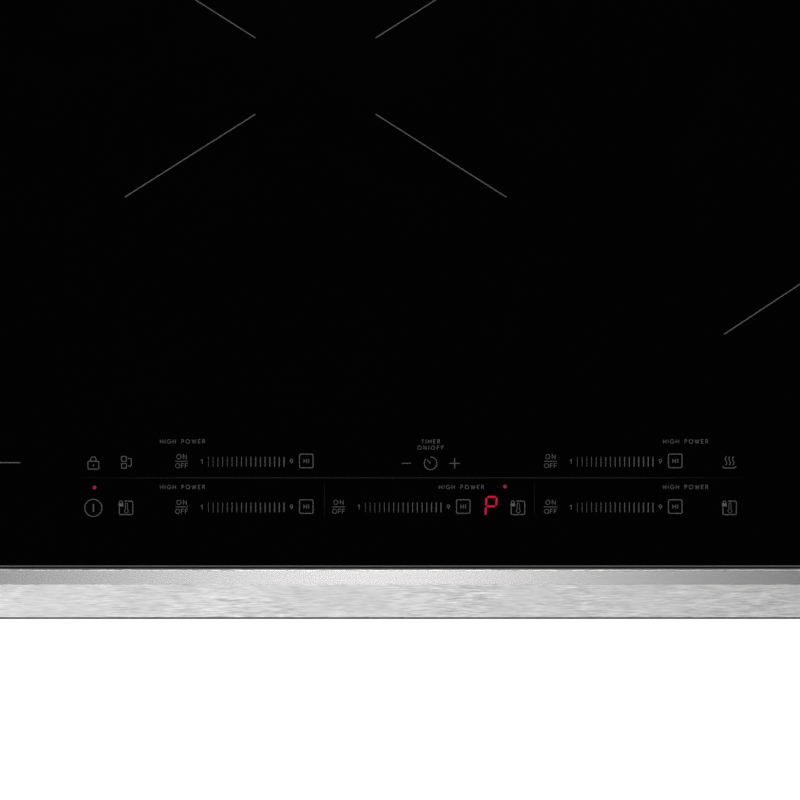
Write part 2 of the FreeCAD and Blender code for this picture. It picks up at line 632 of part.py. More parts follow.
keep("filter_board", block(("-filter_half", "filter_half"), ("filter_front", "filter_rear"),
                           ("board_under", board_top)))
for x in ("-filter_half + standoff_inset", "filter_half - standoff_inset"):
    for y in ("filter_front + standoff_inset", "filter_rear - standoff_inset"):
        standoffs.append(rod(x, y, floor_top, "standoff_radius", f"board_under - ({floor_top})"))
keep("board_standoffs", group(standoffs))

filter_parts = []
for x in (-45, 45):
    choke = add("Part::Torus", "choke")
    bind(choke, Radius1="filter_ring", Radius2="filter_wire")
    filter_parts.append(place(choke, x, -20, board_top + " + filter_wire + 0.1"))
for x in (-60, -25, 40):
    filter_parts.append(block((x, x + 24), (22, 36), (board_top, board_top + " + 22")))
keep("filter_parts", group(filter_parts))

# ---- blowers ----------------------------------------------------------------------------------
for name, side in SIDES.items():
    bx = f"{side}*blower_x"
    height = "blower_top - blower_under"
    outside = fuse([rod(bx, "blower_y", "blower_under", "blower_radius", height),
                    block((f"{bx} - duct_half", f"{bx} + duct_half"), ("blower_y - duct_end", "blower_y"),
                          ("blower_under", "blower_top"))])
    inside = fuse([rod(bx, "blower_y", "blower_under + blower_wall", "blower_radius - blower_wall",
                       height + " - 2*blower_wall"),
                   block((f"{bx} - duct_half + blower_wall", f"{bx} + duct_half - blower_wall"),
                         ("blower_y - duct_end - 5", "blower_y"),
                         ("blower_under + blower_wall", "blower_top - blower_wall"))])
    intake = rod(bx, "blower_y", "blower_under - 1", "intake_radius", 5)
    keep(f"blower_housing_{name}", cut(outside, [inside, intake]))
    can = rod(bx, "blower_y", "motor_under", "motor_radius", "blower_top - blower_wall - motor_under")
    bearing = rod(bx, "blower_y", "motor_under - 1", "spindle_radius + spindle_clearance", 14)
    keep(f"blower_motor_{name}", cut(can, [bearing]))

    rotor = add("PartDesign::Body", "Rotor")
    # cup around the motor, flange under the roof and the spindle, (radius, Z)
    revolve(rotor, sketch(rotor, [[
        (0, "motor_under - 5"), ("motor_radius + 4", "motor_under - 5"), ("motor_radius + 4", "flange_under"),
        ("rotor_radius", "flange_under"), ("rotor_radius", "flange_top"), ("motor_radius + 2.4", "flange_top"),
        ("motor_radius + 2.4", "motor_under - 3"), ("spindle_radius", "motor_under - 3"),
        ("spindle_radius", 35), (0, 35)]], "XZ_Plane"))
    blade = pad(rotor, sketch(rotor, [rectangle("rotor_radius - blade_length - 1", "rotor_radius - 1",
                                                "-blade_thick/2", "blade_thick/2")], level=10), 26)
    ring_of(rotor, blade, 24)
    tie = revolve(rotor, sketch(rotor, [rectangle("rotor_radius - blade_length", "rotor_radius",
                                                  "tie_low", "tie_top")], "XZ_Plane"))
    rotor.Tip = tie
    keep(f"blower_rotor_{name}", place(rotor, bx, "blower_y"))

# ---- touch controls ---------------------------------------------------------------------------
keep("touch_board", block(("control_left + 3", "control_right - 3"), ("control_front + 3", "control_rear - 3"),
                          ("touch_board_under", "touch_board_under + board_thick")))
bench_top = "touch_board_under - bench_leg"
bench = [block(("control_left", "control_right"), ("control_front", "control_rear"),
               ("touch_board_under - bench_drop", bench_top))]
walls = [(("control_left", "control_right"), ("control_front", "control_front + bench_wall")),
         (("control_left", "control_right"), ("control_rear - bench_wall", "control_rear")),
         (("control_left", "control_left + bench_wall"), ("control_front", "control_rear")),
         (("control_right - bench_wall", "control_right"), ("control_front", "control_rear"))]
for across, along in walls:
    bench.append(block(across, along, (bench_top, "touch_board_under + bench_wall")))
for x in (-140, -20, 120, 258):
    for y in ("control_front + standoff_inset", "control_rear - standoff_inset"):
        bench.append(rod(x, y, tray_top, "bench_leg", f"touch_board_under - bench_drop - ({tray_top})"))
        bench.append(rod(x, y, bench_top, "bench_leg - 1", "bench_leg"))
keep("control_carrier", fuse(bench))

slider_keys = [8.3 * k for k in range(6)]
keys_back = [-137.3, -117.1, -82.8, -5.9, 56.2, 71.1, 85.9, 145.2, 222.5, 255.9]
keys_back += [-66.4 + x for x in slider_keys] + [161.9 + x for x in slider_keys]
keys_front = [-137.3, -117.1, -82.8, -5.9, 14.2, 91.5, 125.1, 145.2, 222.5, 255.9]
keys_front += [start + x for start in (-66.4, 30.9, 161.9) for x in slider_keys]
touch_top = "touch_board_under + board_thick"
springs = [rod(x, "touch_row_back", touch_top, "spring_radius", "spring_high") for x in keys_back]
springs += [rod(x, "touch_row_front", touch_top, "spring_radius", "spring_high") for x in keys_front]
keep("touch_springs", group(springs))
keep("display_module", block(("display_x - display_width/2", "display_x + display_width/2"),
                             ("touch_row_front - display_depth/2", "touch_row_front + display_depth/2"),
                             (touch_top, touch_top + " + spring_high")))
keep("status_lights", group([rod(x, "light_row", touch_top, "light_radius", "spring_high")
                             for x in ("light_left", "light_right")]))

# ---- hold-down clamps -------------------------------------------------------------------------
pivots = []
corner = {(-1, "clamp_front_y"): "front_left", (-1, "clamp_rear_y"): "rear_left",
          (1, "clamp_front_y"): "front_right", (1, "clamp_rear_y"): "rear_right"}
for (side, y), where in corner.items():
    px = f"{side}*clamp_x"
    tip = f"{px} + {side}*arm_reach"
    low, high = (tip, px) if side < 0 else (px, tip)
    arm = fuse([block((low, high), (f"{y} - arm_half", f"{y} + arm_half"),
                      ("arm_under", "arm_under + arm_thick")),
                rod(px, y, "arm_under", "arm_half", "ledge_under - arm_under - 0.2"),
                rod(tip, y, "arm_under", "arm_half", "arm_thick"),
                hexagon(tip, y, "bush_under", "bush_radius", "arm_under + arm_thick + 1 - bush_under")])
    holes = [rod(px, y, "arm_under - 1", "pivot_radius + pivot_clearance", 12),
             rod(tip, y, "bush_under - 1", "clamp_screw_radius + pivot_clearance", 12)]
    keep(f"clamp_arm_{where}", cut(arm, holes))
    pivot_low = "arm_under - 0.2"
    pivots.append(fuse([rod(px, y, "arm_under - 3.2", "pivot_head", 3),
                        rod(px, y, pivot_low, "pivot_radius", "ledge_under + 4 - arm_under"),
                        hexagon(px, y, "ledge_under + sheet + 0.1", 5.5, 3)]))
    stem = rod(tip, y, "clamp_head_under + clamp_head_high", "clamp_screw_radius",
               "clamp_pad_under - clamp_head_under - clamp_head_high")
    head = hexagon(tip, y, "clamp_head_under", 5.5, "clamp_head_high")
    foot = rod(tip, y, "clamp_pad_under", "clamp_pad_radius", "clamp_pad_high")
    keep(f"clamp_screw_{where}", fuse([stem, head, foot]))
keep("clamp_pivots", group(pivots))

# ---- check and write --------------------------------------------------------------------------
doc.recompute()
for thing in doc.Objects:
    if "Invalid" in thing.State or "Error" in thing.State:
        raise RuntimeError(f"{thing.Name} ({thing.Label}) failed: {thing.State}")
os.makedirs("parts", exist_ok=True)
for label, thing in nodes.items():
    shape = thing.Shape
    if shape.isNull() or not shape.isValid() or not shape.Solids:
        raise RuntimeError(f"{label} has no valid solid")
    shape.exportStep(f"parts/{label}.step")
    box = shape.BoundBox
    print(f"{label:28s} solids {len(shape.Solids):3d} volume {shape.Volume:12.1f} "
          f"x {box.XMin:.1f} {box.XMax:.1f} y {box.YMin:.1f} {box.YMax:.1f} z {box.ZMin:.1f} {box.ZMax:.1f}")
print(len(nodes), "nodes")
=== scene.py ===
"""Looks of a drop-in induction cooktop: black glass with printed marks, brushed trim and burner box."""
import json
import math

import bmesh
import bpy
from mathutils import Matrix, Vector


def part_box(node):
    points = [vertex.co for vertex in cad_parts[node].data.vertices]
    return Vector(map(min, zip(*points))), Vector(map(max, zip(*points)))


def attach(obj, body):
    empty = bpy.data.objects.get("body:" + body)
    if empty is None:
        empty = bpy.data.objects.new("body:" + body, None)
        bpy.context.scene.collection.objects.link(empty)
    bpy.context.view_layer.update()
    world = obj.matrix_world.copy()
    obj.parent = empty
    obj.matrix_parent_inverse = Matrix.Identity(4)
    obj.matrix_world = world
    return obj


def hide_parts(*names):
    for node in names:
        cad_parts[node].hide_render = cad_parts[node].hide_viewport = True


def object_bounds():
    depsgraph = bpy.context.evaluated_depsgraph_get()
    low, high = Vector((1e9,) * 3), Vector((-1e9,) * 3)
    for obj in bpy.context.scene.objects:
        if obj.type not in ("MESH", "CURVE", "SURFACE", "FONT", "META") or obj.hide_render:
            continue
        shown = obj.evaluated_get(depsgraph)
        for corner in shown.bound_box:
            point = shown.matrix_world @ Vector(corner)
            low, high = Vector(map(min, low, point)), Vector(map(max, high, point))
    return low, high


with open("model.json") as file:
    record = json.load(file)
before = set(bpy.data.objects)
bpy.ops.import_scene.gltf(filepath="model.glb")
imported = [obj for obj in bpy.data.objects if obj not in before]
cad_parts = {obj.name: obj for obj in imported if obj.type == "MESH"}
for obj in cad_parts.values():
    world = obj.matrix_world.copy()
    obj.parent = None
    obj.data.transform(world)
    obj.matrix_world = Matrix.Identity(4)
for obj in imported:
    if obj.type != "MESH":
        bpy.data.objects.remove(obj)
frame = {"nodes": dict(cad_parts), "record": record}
cad_low, cad_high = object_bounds()
MM = 0.001

GLASS_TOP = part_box("glass_top")[1].z
trim_low, trim_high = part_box("front_trim")


# ---- node helpers -------------------------------------------------------------------------------
def put(tree, kind, settings=None, **inputs):
    """Add a node; inputs are given by socket name with _ for a space, or as i0, i1 by place."""
    made = tree.nodes.new(kind)
    for name, value in (settings or {}).items():
        setattr(made, name, value)
    for name, value in inputs.items():
        place = name[1:]
        socket = made.inputs[int(place) if place.isdigit() else name.replace("_", " ")]
        if isinstance(value, bpy.types.NodeSocket):
            tree.links.new(value, socket)
        else:
            socket.default_value = value
    return made


def maths(tree, operation, *values):
    """One sum on numbers or sockets; returns its result socket."""
    inputs = {f"i{place}": value for place, value in enumerate(values)}
    return put(tree, "ShaderNodeMath", {"operation": operation}, **inputs).outputs[0]


def span(tree, value, low, high):
    """Map a 0 to 1 value to low to high."""
    return put(tree, "ShaderNodeMapRange", Value=value, To_Min=low, To_Max=high).outputs[0]


def blend_colours(tree, factor, first, second):
    """A colour between first and second."""
    mix = put(tree, "ShaderNodeMix", {"data_type": "RGBA"}, i0=factor, i6=first, i7=second)
    return mix.outputs[2]


def new_group(name, kind, inputs, outputs):
    """A node group with named sockets; returns its tree, input node and output node."""
    tree = bpy.data.node_groups.new(name, kind)
    for socket_name, socket_type, value in inputs:
        socket = tree.interface.new_socket(socket_name, in_out="INPUT", socket_type=socket_type)
        if value is not None:
            socket.default_value = value
    for socket_name, socket_type in outputs:
        tree.interface.new_socket(socket_name, in_out="OUTPUT", socket_type=socket_type)
    return tree, tree.nodes.new("NodeGroupInput"), tree.nodes.new("NodeGroupOutput")


def use_group(tree, group, **inputs):
    """Place a shared group with its own values."""
    return put(tree, "ShaderNodeGroup", {"node_tree": group}, **inputs)


def object_place(tree, scale=(1, 1, 1), turn=(0, 0, 0)):
    """Object coordinates in millimetres, stretched by scale."""
    coordinates = tree.nodes.new("ShaderNodeTexCoord")
    stretch = [value / MM for value in scale]
    return put(tree, "ShaderNodeMapping", Vector=coordinates.outputs["Object"], Scale=stretch,
               Rotation=turn).outputs[0]


# ---- shared shader groups -----------------------------------------------------------------------
def brushed_grain_group():
    """Long scratches along X: fine lines, broad streaks and a height."""
    tree, given, out = new_group("brushed grain", "ShaderNodeTree",
                                 [("Line Width", "NodeSocketFloat", 0.4),
                                  ("Line Length", "NodeSocketFloat", 60)],
                                 [("Fine", "NodeSocketFloat"), ("Broad", "NodeSocketFloat"),
                                  ("Height", "NodeSocketFloat")])
    place = put(tree, "ShaderNodeSeparateXYZ", Vector=object_place(tree))
    along = maths(tree, "DIVIDE", place.outputs[0], given.outputs["Line Length"])
    across = maths(tree, "DIVIDE", place.outputs[1], given.outputs["Line Width"])
    deep = maths(tree, "DIVIDE", place.outputs[2], given.outputs["Line Width"])
    lines = put(tree, "ShaderNodeCombineXYZ", X=along, Y=across, Z=deep).outputs[0]
    fine = put(tree, "ShaderNodeTexNoise", Vector=lines, Scale=1, Detail=3, Roughness=0.65)
    wide = put(tree, "ShaderNodeVectorMath", {"operation": "MULTIPLY"}, i0=lines, i1=(0.35, 0.16, 0.16))
    broad = put(tree, "ShaderNodeTexNoise", Vector=wide.outputs[0], Scale=1, Detail=2)
    tree.links.new(fine.outputs[0], out.inputs["Fine"])
    tree.links.new(broad.outputs[0], out.inputs["Broad"])
    both = maths(tree, "ADD", fine.outputs[0], maths(tree, "MULTIPLY", broad.outputs[0], 0.5))
    tree.links.new(both, out.inputs["Height"])
    return tree


def handling_group():
    """Smudges and settled dust that vary softly over a surface."""
    tree, given, out = new_group("handling marks", "ShaderNodeTree",
                                 [("Size", "NodeSocketFloat", 40), ("Amount", "NodeSocketFloat", 0.5)],
                                 [("Smudge", "NodeSocketFloat"), ("Dust", "NodeSocketFloat")])
    place = object_place(tree)
    size = maths(tree, "DIVIDE", 1.0, given.outputs["Size"])
    smudge = put(tree, "ShaderNodeTexNoise", Vector=place, Scale=size, Detail=4, Roughness=0.6,
                 Distortion=0.6)
    sharper = put(tree, "ShaderNodeMapRange", Value=smudge.outputs[0], From_Min=0.42, From_Max=0.68)
    tree.links.new(maths(tree, "MULTIPLY", sharper.outputs[0], given.outputs["Amount"]), out.inputs["Smudge"])
    specks = put(tree, "ShaderNodeTexNoise", Vector=place, Scale=0.9, Detail=2, Roughness=0.5)
    few = put(tree, "ShaderNodeMapRange", Value=specks.outputs[0], From_Min=0.66, From_Max=0.8)
    tree.links.new(maths(tree, "MULTIPLY", few.outputs[0], given.outputs["Amount"]), out.inputs["Dust"])
    return tree


def spangle_group():
    """Crystal patches of a zinc coat, with rolling lines under them."""
    tree, given, out = new_group("zinc spangle", "ShaderNodeTree", [("Patch Size", "NodeSocketFloat", 9)],
                                 [("Patch", "NodeSocketFloat"), ("Height", "NodeSocketFloat")])
    place = object_place(tree)
    scale = maths(tree, "DIVIDE", 1.0, given.outputs["Patch Size"])
    bent = put(tree, "ShaderNodeTexNoise", Vector=place, Scale=0.15, Detail=3)
    shifted = put(tree, "ShaderNodeVectorMath", {"operation": "MULTIPLY_ADD"}, i0=bent.outputs[1],
                  i1=(9, 9, 9), i2=place)
    cells = put(tree, "ShaderNodeTexVoronoi", {"feature": "F1"}, Vector=shifted.outputs[0], Scale=scale)
    shade = put(tree, "ShaderNodeSeparateColor", Color=cells.outputs["Color"])
    tree.links.new(shade.outputs[0], out.inputs["Patch"])
    rolled = put(tree, "ShaderNodeTexNoise", Vector=object_place(tree, (0.02, 1.2, 1.2)), Scale=1, Detail=2)
    tree.links.new(maths(tree, "ADD", rolled.outputs[0], shade.outputs[0]), out.inputs["Height"])
    return tree


def moulded_group():
    """Fine even texture of moulded plastic, rubber or fired ceramic."""
    tree, given, out = new_group("moulded skin", "ShaderNodeTree", [("Grain Size", "NodeSocketFloat", 0.6)],
                                 [("Tone", "NodeSocketFloat"), ("Height", "NodeSocketFloat")])
    place = object_place(tree)
    scale = maths(tree, "DIVIDE", 1.0, given.outputs["Grain Size"])
    grain = put(tree, "ShaderNodeTexNoise", Vector=place, Scale=scale, Detail=3, Roughness=0.6)
    flow = put(tree, "ShaderNodeTexNoise", Vector=place, Scale=0.04, Detail=3)
    tree.links.new(flow.outputs[0], out.inputs["Tone"])
    tree.links.new(grain.outputs[0], out.inputs["Height"])
    return tree


BRUSHED_GRAIN = brushed_grain_group()
HANDLING = handling_group()
SPANGLE = spangle_group()
MOULDED = moulded_group()


# ---- materials ----------------------------------------------------------------------------------
def new_material(name):
    """An empty node material with its output node; returns the material and its tree."""
    material = bpy.data.materials.new(name)
    material.use_nodes = True
    material.node_tree.nodes.clear()
    return material, material.node_tree


def finish_surface(tree, **inputs):
    """Place the surface shader with its inputs and wire it to the output."""
    surface = put(tree, "ShaderNodeBsdfPrincipled", **inputs)
    put(tree, "ShaderNodeOutputMaterial", Surface=surface.outputs[0])
    return surface


def tone(colour, factor):
    """The colour made darker or lighter, with its alpha."""
    return (*[channel * factor for channel in colour], 1)


def relief(tree, height, depth, strength=1.0):
    """A normal from a height; depth is in millimetres."""
    return put(tree, "ShaderNodeBump", Height=height, Distance=depth * MM, Strength=strength).outputs[0]


def black_glass(name):
    """Polished opaque glass-ceramic with ground, greyer edges."""
    material, tree = new_material(name)
    marks = use_group(tree, HANDLING, Size=70, Amount=0.5)
    surface = tree.nodes.new("ShaderNodeNewGeometry")
    facing = put(tree, "ShaderNodeSeparateXYZ", Vector=surface.outputs["Normal"])
    lying = maths(tree, "ABSOLUTE", facing.outputs[2])
    ground = put(tree, "ShaderNodeMapRange", Value=lying, From_Min=0.93, From_Max=0.99, To_Min=1, To_Max=0)
    face = blend_colours(tree, marks.outputs["Dust"], (0.0010, 0.0010, 0.0012, 1), (0.004, 0.004, 0.005, 1))
    colour = blend_colours(tree, ground.outputs[0], face, (0.13, 0.13, 0.135, 1))
    rough = maths(tree, "ADD", span(tree, marks.outputs["Smudge"], 0.035, 0.07),
                  maths(tree, "MULTIPLY", ground.outputs[0], 0.4))
    ripple = put(tree, "ShaderNodeTexNoise", Vector=object_place(tree), Scale=0.012, Detail=1)
    finish_surface(tree, Base_Color=colour, Roughness=rough, IOR=1.54,
                   Normal=relief(tree, ripple.outputs[0], 0.02))
    return material


def brushed_steel(name, level=0.70, line=(0.6, 9), rough=(0.30, 0.38), contrast=0.40, stretch=0.6,
                  depth=0.01):
    """Stainless steel brushed along X; line is the width and length of its scratches, rough the span."""
    material, tree = new_material(name)
    grain = use_group(tree, BRUSHED_GRAIN, Line_Width=line[0], Line_Length=line[1])
    marks = use_group(tree, HANDLING, Size=60, Amount=0.6)
    streak = maths(tree, "ADD", maths(tree, "MULTIPLY", grain.outputs["Fine"], 0.8),
                   maths(tree, "MULTIPLY", grain.outputs["Broad"], 0.2))
    sharp = put(tree, "ShaderNodeMapRange", Value=streak, From_Min=0.3, From_Max=0.7).outputs[0]
    strength = span(tree, marks.outputs["Smudge"], 0.5, 1.6)
    offset = maths(tree, "MULTIPLY", maths(tree, "SUBTRACT", sharp, 0.5), strength)
    mixed = maths(tree, "ADD", offset, 0.5)
    grey = (level, level, level)
    shade = blend_colours(tree, mixed, tone(grey, 1 - contrast), tone(grey, 1 + contrast))
    worn = span(tree, mixed, rough[1], rough[0])
    tangent = put(tree, "ShaderNodeTangent", {"direction_type": "RADIAL", "axis": "X"})
    surface = finish_surface(tree, Base_Color=shade, Metallic=1.0, Roughness=worn, Anisotropic=stretch,
                             Normal=relief(tree, grain.outputs["Height"], depth, 0.6))
    tree.links.new(tangent.outputs[0], surface.inputs["Tangent"])
    return material


def coated_metal(name, colour, patch=9, rough=0.42, contrast=0.12):
    """Zinc or bare metal with crystal patches and handling marks."""
    material, tree = new_material(name)
    coat = use_group(tree, SPANGLE, Patch_Size=patch)
    marks = use_group(tree, HANDLING, Size=50, Amount=0.6)
    shade = blend_colours(tree, coat.outputs["Patch"], tone(colour, 1 - contrast), tone(colour, 1 + contrast))
    dulled = blend_colours(tree, maths(tree, "MULTIPLY", marks.outputs["Smudge"], 0.5), shade,
                           tone(colour, 0.72))
    worn = maths(tree, "ADD", span(tree, coat.outputs["Patch"], rough - 0.06, rough + 0.06),
                 maths(tree, "MULTIPLY", marks.outputs["Smudge"], 0.12))
    finish_surface(tree, Base_Color=dulled, Metallic=1.0, Roughness=worn,
                   Normal=relief(tree, coat.outputs["Height"], 0.02, 0.5))
    return material


def moulded(name, colour, grain=0.6, rough=0.5, depth=0.03, contrast=0.15, shine=1.5):
    """Moulded, pressed or fired parts with an even fine texture."""
    material, tree = new_material(name)
    skin = use_group(tree, MOULDED, Grain_Size=grain)
    marks = use_group(tree, HANDLING, Size=30, Amount=0.5)
    shade = blend_colours(tree, skin.outputs["Tone"], tone(colour, 1 - contrast), tone(colour, 1 + contrast))
    dusty = blend_colours(tree, maths(tree, "MULTIPLY", marks.outputs["Dust"], 0.35), shade,
                          (0.45, 0.44, 0.42, 1))
    worn = span(tree, marks.outputs["Smudge"], rough - 0.05, rough + 0.08)
    finish_surface(tree, Base_Color=dusty, Roughness=worn, IOR=shine,
                   Normal=relief(tree, skin.outputs["Height"], depth, 0.6))
    return material


def circuit_board(name):
    """Green solder resist over copper tracks."""
    material, tree = new_material(name)
    tracks = put(tree, "ShaderNodeTexVoronoi", {"feature": "F1", "distance": "CHEBYCHEV"},
                 Vector=object_place(tree), Scale=0.12)
    edges = put(tree, "ShaderNodeMath", {"operation": "PINGPONG"}, i0=tracks.outputs["Distance"], i1=0.08)
    line = put(tree, "ShaderNodeMapRange", Value=edges.outputs[0], From_Min=0.03, From_Max=0.05)
    colour = blend_colours(tree, line.outputs[0], (0.012, 0.10, 0.045, 1), (0.03, 0.19, 0.085, 1))
    marks = use_group(tree, HANDLING, Size=20, Amount=0.5)
    finish_surface(tree, Base_Color=colour, Roughness=span(tree, marks.outputs["Smudge"], 0.28, 0.42),
                   Normal=relief(tree, line.outputs[0], 0.05, 0.5))
    return material


def stranded_copper(name):
    """Lacquered litz wire: fine strands twisted round the bundle, darker in the grooves between them as
    painted shade.
    """
    material, tree = new_material(name)
    strands = put(tree, "ShaderNodeTexWave", {"wave_type": "BANDS", "bands_direction": "DIAGONAL"},
                  Vector=object_place(tree), Scale=0.55, Distortion=1.5, Detail=2)
    # dark copper where the bands dip: painted shade in the grooves between strands
    colour = blend_colours(tree, strands.outputs[1], (0.30, 0.10, 0.035, 1), (0.83, 0.42, 0.20, 1))
    finish_surface(tree, Base_Color=colour, Metallic=0.9,
                   Roughness=span(tree, strands.outputs[1], 0.45, 0.28),
                   Normal=relief(tree, strands.outputs[1], 0.15, 0.6))
    return material


def fired_ink(name, colour, shine=1.4):
    """Ceramic ink fired into the glass, a little uneven from the screen."""
    material, tree = new_material(name)
    screen = put(tree, "ShaderNodeTexNoise", Vector=object_place(tree), Scale=1.6, Detail=2)
    shade = blend_colours(tree, screen.outputs[0], tone(colour, 0.72), tone(colour, 1.28))
    finish_surface(tree, Base_Color=shade, IOR=shine, Roughness=span(tree, screen.outputs[0], 0.5, 0.65))
    return material


def lit_segment(name, colour, strength):
    """A lamp seen through the glass, brighter in its middle."""
    material, tree = new_material(name)
    spread = put(tree, "ShaderNodeTexNoise", Vector=object_place(tree), Scale=0.5, Detail=1)
    glow = blend_colours(tree, spread.outputs[0], tone(colour, 0.85), tone(colour, 1.1))
    finish_surface(tree, Base_Color=(0.004, 0.0, 0.001, 1), Roughness=0.5, IOR=1.02, Emission_Color=glow,
                   Emission_Strength=strength)
    return material


MATERIALS = {
    "black_glass": black_glass("black glass"),
    "brushed_trim": brushed_steel("brushed trim slope"),
    "dark_plastic": moulded("dark moulded plastic", (0.028, 0.028, 0.03)),
    "black_sealant": moulded("black sealant", (0.006, 0.006, 0.006), 1.5, 0.7, shine=1.2),
    "grey_foam": moulded("grey foam", (0.09, 0.09, 0.092), 0.4, 0.85, 0.12),
    "zinc_sheet": coated_metal("zinc sheet", (0.56, 0.58, 0.60)),
    "zinc_screws": coated_metal("zinc screws", (0.62, 0.63, 0.64), 2.5, 0.3, 0.06),
    "clamp_steel": coated_metal("clamp steel", (0.50, 0.51, 0.52), 4, 0.38, 0.08),
    "inlet_zinc": coated_metal("inlet casting", (0.55, 0.56, 0.57), 1.5, 0.5, 0.08),
    "tray_aluminium": coated_metal("tray aluminium", (0.75, 0.76, 0.77), 20, 0.35, 0.04),
    "coil_carrier_resin": moulded("coil carrier resin", (0.66, 0.62, 0.54), 0.5, 0.55),
    "copper_litz": stranded_copper("stranded copper"),
    "ferrite": moulded("ferrite", (0.05, 0.05, 0.055), 0.3, 0.6, 0.05),
    "mica": moulded("mica sheet", (0.70, 0.64, 0.50), 2.0, 0.6, 0.04, 0.25),
    "sensor_ceramic": moulded("sensor ceramic", (0.80, 0.79, 0.76), 0.3, 0.45),
    "lead_sleeve": moulded("lead sleeve", (0.42, 0.03, 0.025), 0.4, 0.5),
    "circuit_board": circuit_board("circuit board"),
    "board_components": moulded("board components", (0.07, 0.07, 0.08), 0.5, 0.4),
    "white_nylon": moulded("white nylon", (0.78, 0.78, 0.75), 0.5, 0.45),
    "motor_steel": coated_metal("motor can", (0.42, 0.43, 0.44), 3, 0.35, 0.06),
    "spring_steel": coated_metal("touch spring", (0.66, 0.64, 0.58), 1, 0.3, 0.05),
    "display_red": moulded("display lens", (0.25, 0.01, 0.02), 0.5, 0.3),
}
INK = fired_ink("grey ink", (0.10, 0.10, 0.104))
FAINT_INK = fired_ink("faint grey ink", (0.012, 0.012, 0.0125), 1.2)
LIT_FIGURE = lit_segment("lit figure", (0.52, 0.011, 0.045), 1.0)
LIT_DOT = lit_segment("lit dot", (0.27, 0.018, 0.06), 1.0)

node_slots = {part["node"]: part["material_slot"] for part in frame["record"]["subparts"]}
for node_name, node_object in frame["nodes"].items():
    for material_slot in node_object.material_slots:
        material_slot.material = MATERIALS[node_slots[node_name]]


# ---- mesh helpers -------------------------------------------------------------------------------
def add_piece(name, mesh_maker, material, body="cooktop"):
    """Turn a finished bmesh into a piece that rides a body."""
    bmesh.ops.recalc_face_normals(mesh_maker, faces=mesh_maker.faces)
    mesh = bpy.data.meshes.new(name)
    mesh_maker.to_mesh(mesh)
    mesh_maker.free()
    return adopt(name, mesh, material, body)


def adopt(name, mesh, material, body="cooktop"):
    """Make a piece of a finished mesh; without a material it keeps those it has."""
    if material is not None:
        mesh.materials.clear()
        mesh.materials.append(material)
    piece = bpy.data.objects.new(name, mesh)
    bpy.context.scene.collection.objects.link(piece)
    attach(piece, body)
    return piece


def arc(cx, cy, radius, start, end, steps=24):
    """Points on a circle from start to end degrees."""
    angles = [math.radians(start + (end - start) * k / steps) for k in range(steps + 1)]
    return [(cx + radius * math.cos(a), cy + radius * math.sin(a)) for a in angles]


def rounded_square(cx, cy, width, height, radius):
    """Closed outline of a rectangle with round corners."""
    points = []
    for sx, sy, start in ((1, 1, 0), (-1, 1, 90), (-1, -1, 180), (1, -1, 270)):
        points += arc(cx + sx * (width / 2 - radius), cy + sy * (height / 2 - radius), radius,
                      start, start + 90, 6)
    return points


